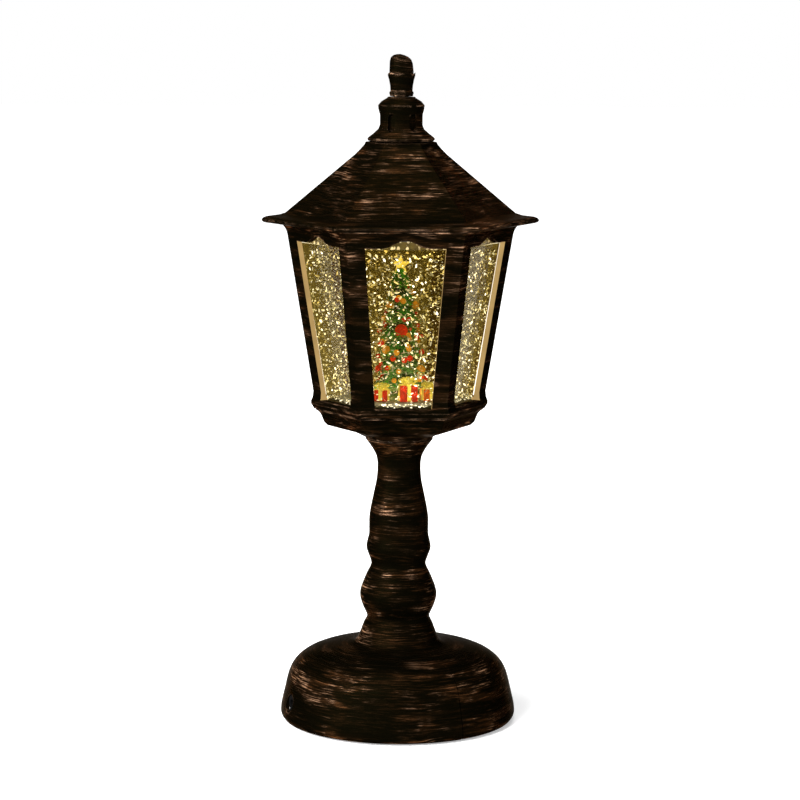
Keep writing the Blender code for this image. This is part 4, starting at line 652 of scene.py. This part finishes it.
def curved(points, steps):
    """A smooth line through the points."""
    line = []
    for i, (here, there) in enumerate(zip(points, points[1:])):
        before = points[i - 1] if i else here
        after = points[i + 2] if i + 2 < len(points) else there
        span = (there - here).length
        leave = (there - before) * span / (span + (here - before).length)
        arrive = (after - here) * span / (span + (after - there).length)
        for k in range(steps):
            s = k / steps
            line.append(
                here * (1 + s * s * (2 * s - 3))
                + there * s * s * (3 - 2 * s)
                + leave * s * (1 - s) ** 2
                - arrive * s * s * (1 - s)
            )
    return line + [points[-1]]


def offset(points, width):
    """The line moved to its inner side, between the same end levels and clear of the axis."""
    moved = []
    for i, here in enumerate(points):
        way = (points[min(i + 1, len(points) - 1)] - points[max(i - 1, 0)]).normalized()
        level = min(max(here.y + width * way.x, points[0].y), points[-1].y)
        moved.append(Vector((max(here.x - width * way.y, 0.001), level)))
    return moved


def turned(shape, section, start, end, steps):
    """Turns a closed section about the lantern's axis, through part of a circle."""
    rings = []
    for k in range(steps + 1):
        angle = start + (end - start) * k / steps
        rings.append([shape.verts.new(around(point.x, angle, point.y)) for point in section])
    loft(shape, rings)
    bmesh.ops.recalc_face_normals(shape, faces=shape.faces)


def carve(obj, cutter):
    """Cuts the cutter's shape out of the object for good."""
    cut = obj.modifiers.new("Hole", "BOOLEAN")
    cut.object = cutter
    cut.solver = "EXACT"
    graph = bpy.context.evaluated_depsgraph_get()
    mesh = bpy.data.meshes.new_from_object(obj.evaluated_get(graph))
    obj.modifiers.remove(cut)
    obj.data = mesh
    bpy.data.objects.remove(cutter)


class LANTERN_OT_housing(Operator):
    """Round and brush the foot, column, cup, frame, roof, cap and finial"""

    bl_idname = "lantern.housing"
    bl_label = "Housing"

    def execute(self, context):
        settings = context.scene.lantern_finish
        sided = bronze_finish("brushed_bronze_sided", settings, True)
        round_bronze = bronze_finish("brushed_bronze_round", settings, False)
        for name in ("roof", "lantern_frame", "lower_cup"):
            dress(name, sided, settings.edge_round)
        for name in ("vent_cap", "finial"):
            dress(name, round_bronze, 0.0002)
        self.column(settings, round_bronze)
        return {"FINISHED"}

    def column(self, settings, material):
        """The foot and column in two halves, turned finely along the outline of the CAD shells."""
        outline = exposed_outline("post_shell_right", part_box("lower_cup")[0].z)
        steps_up, steps_round, sharp, rounding = 3, 56, radians(40), 0.00018
        section = curved(outline, steps_up) + list(reversed(offset(outline, settings.shell_wall)))
        gap = settings.seam / 2 / max(point.x for point in outline)
        for side, turn in (("right", 0), ("left", pi)):
            start = settings.seam_turn + turn
            shape = bmesh.new()
            turned(shape, section, start + gap, start + pi - gap, steps_round)
            obj = piece(f"turned_shell_{side}", shape, material, f"post_shell_{side}")
            if side == "left":
                carve(obj, self.jack_hole())
            shade(obj, sharp)
            round_edges(obj, rounding)

    def jack_hole(self):
        """A rod along the axis of the power jack, a little wider than its nose."""
        low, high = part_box("dc_jack")
        centre = (low + high) / 2
        away = Vector((centre.x, centre.y, 0)).normalized()
        radius, depth, outset = 0.0037, 0.02, 0.006
        spin = away.to_track_quat("Z", "Y").to_matrix().to_4x4()
        shape = bmesh.new()
        bmesh.ops.create_cone(
            shape, cap_ends=True, segments=32, radius1=radius, radius2=radius, depth=depth,
            matrix=Matrix.Translation(centre + away * outset) @ spin,
        )
        return meshed("jack hole", shape)


def hides_bauble(place):
    """True between the front bauble and the viewer, where the photo shows no flake."""
    middle = (BAUBLE_LOW + BAUBLE_HIGH) / 2
    away = place - middle
    along = away.dot(TO_VIEWER)
    return along > 0 and (away - TO_VIEWER * along).length < (BAUBLE_HIGH.z - middle.z) * 1.1


def flake(shape, place, turn, size, stretch=1.0):
    """A small hexagon, drawn out one way by the stretch."""
    wide = Vector((stretch, 1, 1))
    corners = [around(size, tau * i / SIDES, 0) * wide for i in range(SIDES)]
    shape.faces.new([shape.verts.new(place + turn @ corner) for corner in corners])


class LANTERN_OT_water(Operator):
    """Fill the tank with tinted water and swirling glitter"""

    bl_idname = "lantern.water"
    bl_label = "Water and glitter"

    def execute(self, context):
        settings = context.scene.lantern_water
        dress("water_tank", tank_finish("clear_acrylic"))
        self.fill(settings)
        rng = random.Random(settings.seed)
        shape = bmesh.new()
        self.scatter(shape, settings, rng)
        self.settle(shape, settings, rng)
        piece("glitter", shape, flake_finish("glitter", settings))
        return {"FINISHED"}

    def fill(self, settings):
        """A closed body just inside the tank, from its floor to the underside of the lid."""
        gap = settings.gap
        corners = {}
        for vertex in NODES["water_tank"].data.vertices:
            corners.setdefault(round(vertex.co.z, 5), []).append(hypot(vertex.co.x, vertex.co.y))
        floor, side, ledge, rim = sorted(corners)[1:]
        top = LID_LOW.z - gap
        narrow, wide = max(corners[ledge]), min(corners[rim])
        outline = [
            (min(corners[floor]), floor + gap),
            (min(corners[side]), side),
            (min(corners[ledge]), ledge + gap),
            (narrow, ledge + gap),
            (narrow + (wide - narrow) * (top - ledge) / (rim - ledge), top),
        ]
        shape = bmesh.new()
        loft(shape, [ring(shape, radius - gap, level, SIDES) for radius, level in outline])
        piece("water", shape, water_finish("tinted_water", settings))

    def scatter(self, shape, settings, rng):
        """Flakes of glitter all through the water over the snow, clear of the tank's leaning sides."""
        off_snow, off_lid, off_plate_edge, off_tank_edge = 0.0015, 0.0025, 0.0012, 0.0036
        low, high = MOUND_LOW.z + off_snow, LID_LOW.z - off_lid
        low_reach = (PLATE_HIGH.x - PLATE_LOW.x) / 2 - off_plate_edge
        high_reach = (TANK_HIGH.x - TANK_LOW.x) / 2 - off_tank_edge
        apothem = cos(pi / SIDES)

        def spin(most, axis):
            return Matrix.Rotation(rng.uniform(0, most), 3, axis)

        for _ in range(settings.flakes):
            while True:
                share = rng.random() ** 1.3
                reach = low_reach + (high_reach - low_reach) * share
                x, y = rng.uniform(-reach, reach), rng.uniform(-reach, reach)
                distances = [abs(x * cos(a) + y * sin(a)) for a in (pi / 6, pi / 2, 5 * pi / 6)]
                place = Vector((x, y, low + (high - low) * share))
                inside = max(distances) < reach * apothem and rng.random() < (reach / high_reach) ** 2
                if inside and not hides_bauble(place):
                    break
            size = settings.flake_size * rng.uniform(0.45, 1.0)
            stretch = rng.uniform(1.2, 2.6) if rng.random() < 0.55 else 1.0
            flake(shape, place, spin(tau, "Z") @ spin(pi, "X") @ spin(tau, "Z"), size, stretch)

    def settle(self, shape, settings, rng):
        """Flakes that have come to rest round the edge of the plate that the scene stands on."""
        off_edge, off_mound, steepest = 0.0006, 0.0004, 0.9
        plate_reach = ((PLATE_HIGH.x - PLATE_LOW.x) / 2 - off_edge) * cos(pi / SIDES)
        mound_reach = (MOUND_HIGH.x - MOUND_LOW.x) / 2 + off_mound
        for _ in range(settings.settled):
            angle = rng.uniform(0, tau)
            lean = cos((angle % (pi / 3)) - pi / 6)
            radius = rng.uniform(mound_reach, plate_reach / lean)
            level = PLATE_HIGH.z + rng.uniform(0.0001, 0.0016)
            size = settings.flake_size * rng.uniform(0.5, 1.0)
            tilt = Matrix.Rotation(rng.uniform(-steepest, steepest), 3, "Y")
            turn = Matrix.Rotation(angle, 3, "Z") @ tilt
            flake(shape, around(radius, angle, level), turn, size)


class LANTERN_OT_tree(Operator):
    """Grow the tree, tier by tier"""

    bl_idname = "lantern.tree"
    bl_label = "Tree"

    def execute(self, context):
        settings = context.scene.lantern_garden
        rng = random.Random(5)
        shape = bmesh.new()
        reach = tree_reach(1.0)
        self.core(shape, reach)
        layers, least_fronds, foot_gap = 3, 8, 0.0002
        step = TREE_HEIGHT / settings.tiers
        for tier in range(settings.tiers):
            low = TREE_LOW.z + TREE_HEIGHT - step * (tier + 1)
            wide = tree_reach((tier + 1) / settings.tiers)
            for layer in range(layers):
                count = max(least_fronds, round(settings.fronds * (0.4 + 0.6 * wide / reach)))
                for i in range(count):
                    place = i + layer / layers + 0.37 * tier
                    angle = tau * place / count + rng.uniform(-0.08, 0.08)
                    length = wide * (1.0 - 0.14 * layer) * rng.uniform(0.84, 0.985)
                    base = low + step * (0.50 + 0.36 * layer)
                    tip = low + step * (0.04 + 0.30 * layer) * rng.uniform(0.3, 1.3)
                    self.frond(shape, angle, length, base, max(tip, TREE_LOW.z + foot_gap), wide)
        obj = piece("needled_tree", shape, needle_finish("needles", settings), "tree")
        shade(obj)
        bark = moulded_finish("bark", (0.16, 0.08, 0.04), 0.8, grain=700.0, depth=0.0002, glow=0.05)
        dress("tree_trunk", bark)
        return {"FINISHED"}

    def core(self, shape, reach):
        """The closed cone that the branches grow from."""
        outline = ((0.34, 0.045), (0.30, 0.30), (0.15, 0.70), (0.02, 0.995))
        low, height = TREE_LOW.z, TREE_HEIGHT
        loft(shape, [ring(shape, reach * radius, low + height * level, 12) for radius, level in outline])

    def frond(self, shape, angle, length, base, tip, wide):
        """One drooping branch: a narrow ridge with pairs of pointed needles down both sides."""
        outward = around(1, angle, 0)
        across = Vector((-sin(angle), cos(angle), 0))
        start, droop, steps = wide * 0.12, 1.5, 6
        needle_length, shortest, needle_drop = wide * 0.22, 0.0006, 0.45
        ridge = []
        for k in range(steps + 1):
            share = k / steps
            level = base + (tip - base) * share**droop
            spot = outward * (start + (length - start) * share) + Vector((0, 0, level))
            ridge.append(shape.verts.new(spot))
        for k in range(steps):
            here, there = ridge[k], ridge[k + 1]
            share = (k + 0.5) / steps
            reach = max(shortest, needle_length * (0.6 + 0.9 * share) * min(1, 2.1 - 1.6 * share))
            middle = (here.co + there.co) / 2
            for side in (-1, 1):
                spot = middle + across * side * reach + outward * reach * 0.5
                needle = shape.verts.new(spot - Vector((0, 0, reach * needle_drop)))
                corners = (here, there, needle) if side > 0 else (there, here, needle)
                shape.faces.new(corners)


class LANTERN_OT_ornaments(Operator):
    """Make the star, the baubles and the beads"""

    bl_idname = "lantern.ornaments"
    bl_label = "Star and baubles"

    def execute(self, context):
        settings = context.scene.lantern_garden
        glow = settings.glow * 4.0
        finishes = {
            "red": paint_finish("bauble_red", settings.red, glow, 0.18),
            "gold": paint_finish("bauble_gold", settings.gold, glow, 0.22, 0.3),
        }
        baubles = []
        for name in nodes_named("bauble_"):
            low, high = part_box(name)
            centre, radius = (low + high) / 2, (high.z - low.z) / 2
            baubles.append((centre, radius))
            shape = bmesh.new()
            sphere(shape, centre, radius * 0.99)
            label = "red" if name in RED_BAUBLES else "gold"
            obj = piece(f"shiny_{name}", shape, finishes[label], name)
            obj.data.shade_smooth()
        self.star(settings)
        self.beads(settings, finishes, baubles)
        return {"FINISHED"}

    def beads(self, settings, finishes, baubles):
        """Small beads on the tips of the branches, in red and gold, with none inside a bauble."""
        rng = random.Random(23)
        for label, finish in finishes.items():
            shape = bmesh.new()
            for _ in range(settings.beads // 2):
                share = rng.uniform(0.06, 0.92) ** 0.75
                radius = tree_reach(share) * rng.uniform(0.78, 0.94)
                angle, size = rng.uniform(0, tau), rng.uniform(0.0006, 0.0013)
                level = TREE_HIGH.z - TREE_HEIGHT * (share + rng.uniform(-0.02, 0.02))
                place = around(radius, angle, level)
                if all((place - centre).length - reach > size for centre, reach in baubles):
                    sphere(shape, place, size, 6, 8)
            piece(f"beads_{label}", shape, finish).data.shade_smooth()

    def star(self, settings):
        """A star whose arms rise to a ridge down the middle of each side."""
        low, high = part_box("tree_star")
        points, dip = 5, 0.44
        outer = (high.x - low.x) / 2 / cos(pi / 10)
        centre = Vector((0, (low.y + high.y) / 2, high.z - outer))
        depth = (high.y - low.y) / 2
        shape = bmesh.new()
        rim = []
        for i in range(2 * points):
            radius = outer * (1 if i % 2 == 0 else dip)
            angle = pi / 2 + pi * i / points
            rim.append(shape.verts.new(centre + Vector((radius * cos(angle), 0, radius * sin(angle)))))
        for side in (-1, 1):
            peak = shape.verts.new(centre + Vector((0, side * depth, 0)))
            for i in range(2 * points):
                corner = (rim[i], rim[(i + 1) % (2 * points)], peak)
                shape.faces.new(corner if side < 0 else corner[::-1])
        bmesh.ops.recalc_face_normals(shape, faces=shape.faces)
        pale = tuple(0.15 + 0.85 * channel for channel in settings.yellow)
        finish = paint_finish("star_yellow", pale, settings.glow * 17.0, 0.25)
        piece("faceted_star", shape, finish, "tree_star")


class LANTERN_OT_gifts(Operator):
    """Wrap the gifts"""

    bl_idname = "lantern.gifts"
    bl_label = "Gifts"

    def execute(self, context):
        settings = context.scene.lantern_garden
        glow = settings.glow * 1.2
        red = paint_finish("gift_red", settings.red, glow, 0.4)
        orange = paint_finish("gift_orange", settings.orange, glow, 0.4)
        yellow = paint_finish("ribbon_yellow", settings.yellow, glow * 1.6, 0.35)
        papers = ((red, "gift_red"), (red, "gift_red"), (orange, "gift_orange"))
        for number, (paper, slot) in enumerate(papers, 1):
            rounded(f"wrapped_gift_{number}", f"gift_box_{number}", paper, 0.00022)
            self.bow(f"gift_ribbon_{number}", yellow)
        return {"FINISHED"}

    def bow(self, source, material):
        """The ribbon of the CAD gift, with a rosette bow and two tails over its knot."""
        rounding, knot_drop, thickness = 0.00008, 0.0009, 0.00010
        rounded(f"tied_{source}", source, material, rounding)
        low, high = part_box(source)
        knot = Vector(((low.x + high.x) / 2, (low.y + high.y) / 2, high.z - knot_drop))
        wide = (high.x - low.x) * 0.50
        shape = bmesh.new()
        for layer, (count, lift) in enumerate(((7, 0.25), (5, 0.75))):
            for i in range(count):
                turn = tau * (i + 0.5 * layer) / count - pi / 2
                self.loop(shape, knot, turn, wide * (1 - 0.22 * layer), lift)
        for side in (-1, 1):
            self.tail(shape, knot, side, wide)
        obj = piece(source.replace("ribbon", "bow"), shape, material)
        obj.modifiers.new("Ribbon's thickness", "SOLIDIFY").thickness = thickness
        obj.data.shade_smooth()

    def loop(self, shape, knot, turn, length, lift):
        """A ribbon that leaves the knot, swings round and comes back to it."""
        outward = around(1, turn, lift).normalized()
        across = Vector((-sin(turn), cos(turn), 0))
        up = across.cross(outward)
        steps = 12
        rows = []
        for k in range(steps + 1):
            way = tau * k / steps
            swell = (1 - cos(way)) / 2
            middle = knot + outward * length * swell + up * length * 0.34 * sin(way) * swell
            rows.append((middle, across * length * (0.07 + 0.17 * swell)))
        strip(shape, rows)

    def tail(self, shape, knot, side, length):
        """A ribbon's end that hangs from the knot over the front of the gift."""
        steps = 6
        rows = []
        for k in range(steps + 1):
            share = k / steps
            out, down = 0.62 * share, 0.20 * share * share
            middle = knot + length * Vector((side * (0.10 + out), -(0.15 + out), -down))
            rows.append((middle, Vector((length * (0.08 + 0.10 * share), 0, 0))))
        strip(shape, rows)


class LANTERN_OT_snow(Operator):
    """Lay the snow under the tree"""

    bl_idname = "lantern.snow"
    bl_label = "Snow"

    def execute(self, context):
        settings = context.scene.lantern_garden
        dress("snow_mound", snow_finish("snow", settings, settings.glow * 0.2, 0.55))
        dress("scene_plate", snow_finish("snow_in_shade", settings, settings.glow * 0.1, 0.05))
        return {"FINISHED"}


class LANTERN_OT_fittings(Operator):
    """Finish the base, its battery bay, the electrics and the works under the tank"""

    bl_idname = "lantern.fittings"
    bl_label = "Fittings"

    def execute(self, context):
        dark = moulded_finish("dark_plastic", (0.016, 0.014, 0.013), 0.62, 1500.0, 0.00005, gloss=0.02)
        lit = moulded_finish("lit_plastic", (0.62, 0.48, 0.20), 0.5, glow=0.30, gloss=0.2)
        rubber = moulded_finish("rubber", (0.020, 0.020, 0.020), 0.85, grain=900.0, depth=0.00008)
        steel = moulded_finish("steel", (0.60, 0.60, 0.60), 0.3, 2400.0, 0.00001, metallic=1.0)
        screws_and_springs = nodes_named("base_screw_") + nodes_named("cell_spring_")
        rows = (
            (dark, ["base_plate", "battery_door", "switch_body", "switch_slider"]),
            (moulded_finish("jack_plastic", (0.004, 0.004, 0.004), 0.8, gloss=0.0), ["dc_jack"]),
            (moulded_finish("white_plastic", (0.78, 0.78, 0.75), 0.5), ["motor_holder"]),
            (moulded_finish("wire", (0.015, 0.015, 0.015), 0.5), ["wire_harness"]),
            (moulded_finish("magnet", (0.20, 0.20, 0.21), 0.4, 1500.0, metallic=0.8), ["motor_rotor"]),
            (lit, ["led_board", "impeller"]),
            (lid_finish("lit_lid"), ["tank_lid"]),
            (board_finish("circuit_board"), ["control_board"]),
            (rubber, nodes_named("rubber_foot_") + ["lid_seal", "fill_plug"]),
            (steel, screws_and_springs + nodes_named("contact_plate_") + ["motor", "impeller_pin"]),
        )
        for finish, names in rows:
            for name in names:
                dress(name, finish)
        for cell, spring in zip(nodes_named("battery_cell_"), nodes_named("cell_spring_")):
            low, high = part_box(spring)
            positive = -1 if low.y + high.y > 0 else 1
            dress(cell, sleeve_finish(f"{cell}_sleeve", positive))
        return {"FINISHED"}


def lamp(name, place, aim, size, power, colour=(1, 1, 1), tall=None):
    """A soft box that looks from its place at its aim."""
    light = bpy.data.lights.new(name, "AREA")
    light.shape = "RECTANGLE"
    light.size = size
    light.size_y = tall or size
    light.energy = power
    light.color = colour
    obj = placed(name, light)
    obj.location = place
    obj.rotation_euler = (Vector(aim) - Vector(place)).to_track_quat("-Z", "Y").to_euler()
    return obj


class LANTERN_OT_stage(Operator):
    """Set up the camera, the lamps, the white background and the floor"""

    bl_idname = "lantern.stage"
    bl_label = "Stage"

    def execute(self, context):
        settings = context.scene.lantern_stage
        context.scene.view_settings.view_transform = "Standard"
        self.camera(context, settings)
        self.lamps()
        self.world(context, settings)
        self.floor()
        return {"FINISHED"}

    def camera(self, context, settings):
        camera = bpy.data.cameras.new("camera")
        camera.lens = settings.lens
        camera.clip_end = 20
        camera.shift_x = settings.shift
        obj = placed("camera", camera)
        turn = settings.turn
        place = (-settings.distance * sin(turn), -settings.distance * cos(turn), settings.height)
        look = Matrix.Rotation(-turn, 4, "Z") @ Matrix.Rotation(pi / 2 - settings.dip, 4, "X")
        obj.matrix_world = Matrix.Translation(place) @ look @ Matrix.Rotation(settings.roll, 4, "Z")
        context.scene.camera = obj

    def lamps(self):
        """Soft boxes in front, overhead, behind and at the left, and two warm lights in the tank."""
        middle = (0, 0, 0.14)
        lamp("key", (-0.62, -0.92, 0.75), middle, size=0.45, power=21.0)
        lamp("fill", (0.75, -0.85, 0.45), middle, size=0.50, power=3.0)
        lamp("overhead", (-0.16, -0.08, 1.20), middle, size=0.50, power=16.0)
        lamp("rim", (0.20, 0.95, 0.85), middle, size=0.50, power=4.0)
        lamp("tall_box", (-0.78, -0.42, 0.50), (0, 0, 0.20), size=0.05, power=12.0, tall=0.80)
        over_snow, under_lid = (0, 0, MOUND_HIGH.z + 0.0005), (0, 0, LID_LOW.z - 0.001)
        up = lamp("tank_light_low", over_snow, under_lid, size=0.03, power=0.05, colour=WARM)
        down = lamp("tank_light_high", under_lid, over_snow, size=0.04, power=0.10, colour=WARM)
        for light in (up, down):
            light.visible_camera = light.visible_glossy = light.visible_transmission = False

    def world(self, context, settings):
        """White where the camera, a reflection or the glass shows it, and plain soft light elsewhere."""
        world = bpy.data.worlds.new("studio")
        context.scene.world = world
        world.use_nodes = True
        graph = Graph(world.node_tree)
        ambient_to_white = {"Value": graph.shown(), "To Min": settings.ambient, "To Max": 1.0}
        background = graph.tree.nodes["Background"]
        graph.feed(background.inputs["Color"], (1, 1, 1))
        graph.feed(background.inputs["Strength"], graph.node("ShaderNodeMapRange", {}, ambient_to_white))

    def floor(self):
        """A pale floor that keeps the lantern's shadow and reads as white in the picture."""
        finish = Finish("pale_floor", Roughness=0.9, Specular_IOR_Level=0.0)
        fine = finish.noise(40.0, 2.0)
        finish.set(Base_Color=finish.mix(fine, (0.80, 0.80, 0.80), (0.82, 0.82, 0.82)))
        x, y, _ = finish.axes()
        away = ((x * x + y * y) ** 0.5).rise(0.12, 0.60)
        unseen, near, far = (
            finish.node("ShaderNodeEmission", {}, {"Strength": strength}) for strength in (0.0, 0.36, 1.11)
        )
        glow = finish.node("ShaderNodeMixShader", {}, {0: away, 1: near, 2: far})
        glow = finish.node("ShaderNodeMixShader", {}, {0: finish.shown(), 1: unseen, 2: glow})
        lit = Value(finish, finish.shader.outputs[0])
        total = finish.node("ShaderNodeAddShader", {}, {0: lit, 1: glow})
        finish.feed(finish.tree.nodes["Material Output"].inputs["Surface"], total)
        shape = bmesh.new()
        bmesh.ops.create_grid(shape, x_segments=1, y_segments=1, size=6)
        meshed("floor", shape, finish.material)


GROUPS = {
    "lantern_finish": LanternFinish,
    "lantern_water": LanternWater,
    "lantern_garden": LanternGarden,
    "lantern_stage": LanternStage,
}
OPERATORS = (
    LANTERN_OT_housing,
    LANTERN_OT_water,
    LANTERN_OT_tree,
    LANTERN_OT_ornaments,
    LANTERN_OT_gifts,
    LANTERN_OT_snow,
    LANTERN_OT_fittings,
    LANTERN_OT_stage,
)


class LANTERN_PT_panel(Panel):
    """Lists the settings and the steps of the water lantern"""

    bl_idname = "LANTERN_PT_panel"
    bl_label = "Water lantern"
    bl_space_type = "VIEW_3D"
    bl_region_type = "UI"
    bl_category = "Water lantern"

    def draw(self, context):
        for name, group in GROUPS.items():
            column = self.layout.column()
            column.label(text=group.__doc__)
            for setting in group.__annotations__:
                column.prop(getattr(context.scene, name), setting)
        for operator in OPERATORS:
            self.layout.operator(operator.bl_idname)


def register():
    for group in GROUPS.values():
        bpy.utils.register_class(group)
    for cls in (*OPERATORS, LANTERN_PT_panel):
        bpy.utils.register_class(cls)
    for name, group in GROUPS.items():
        setattr(bpy.types.Scene, name, PointerProperty(type=group))


def unregister():
    for name in GROUPS:
        delattr(bpy.types.Scene, name)
    for cls in (LANTERN_PT_panel, *reversed(OPERATORS), *reversed(GROUPS.values())):
        bpy.utils.unregister_class(cls)


def main():
    register()
    for operator in OPERATORS:
        _, name = operator.bl_idname.split(".")
        getattr(bpy.ops.lantern, name)()


if __name__ == "__main__":
    main()
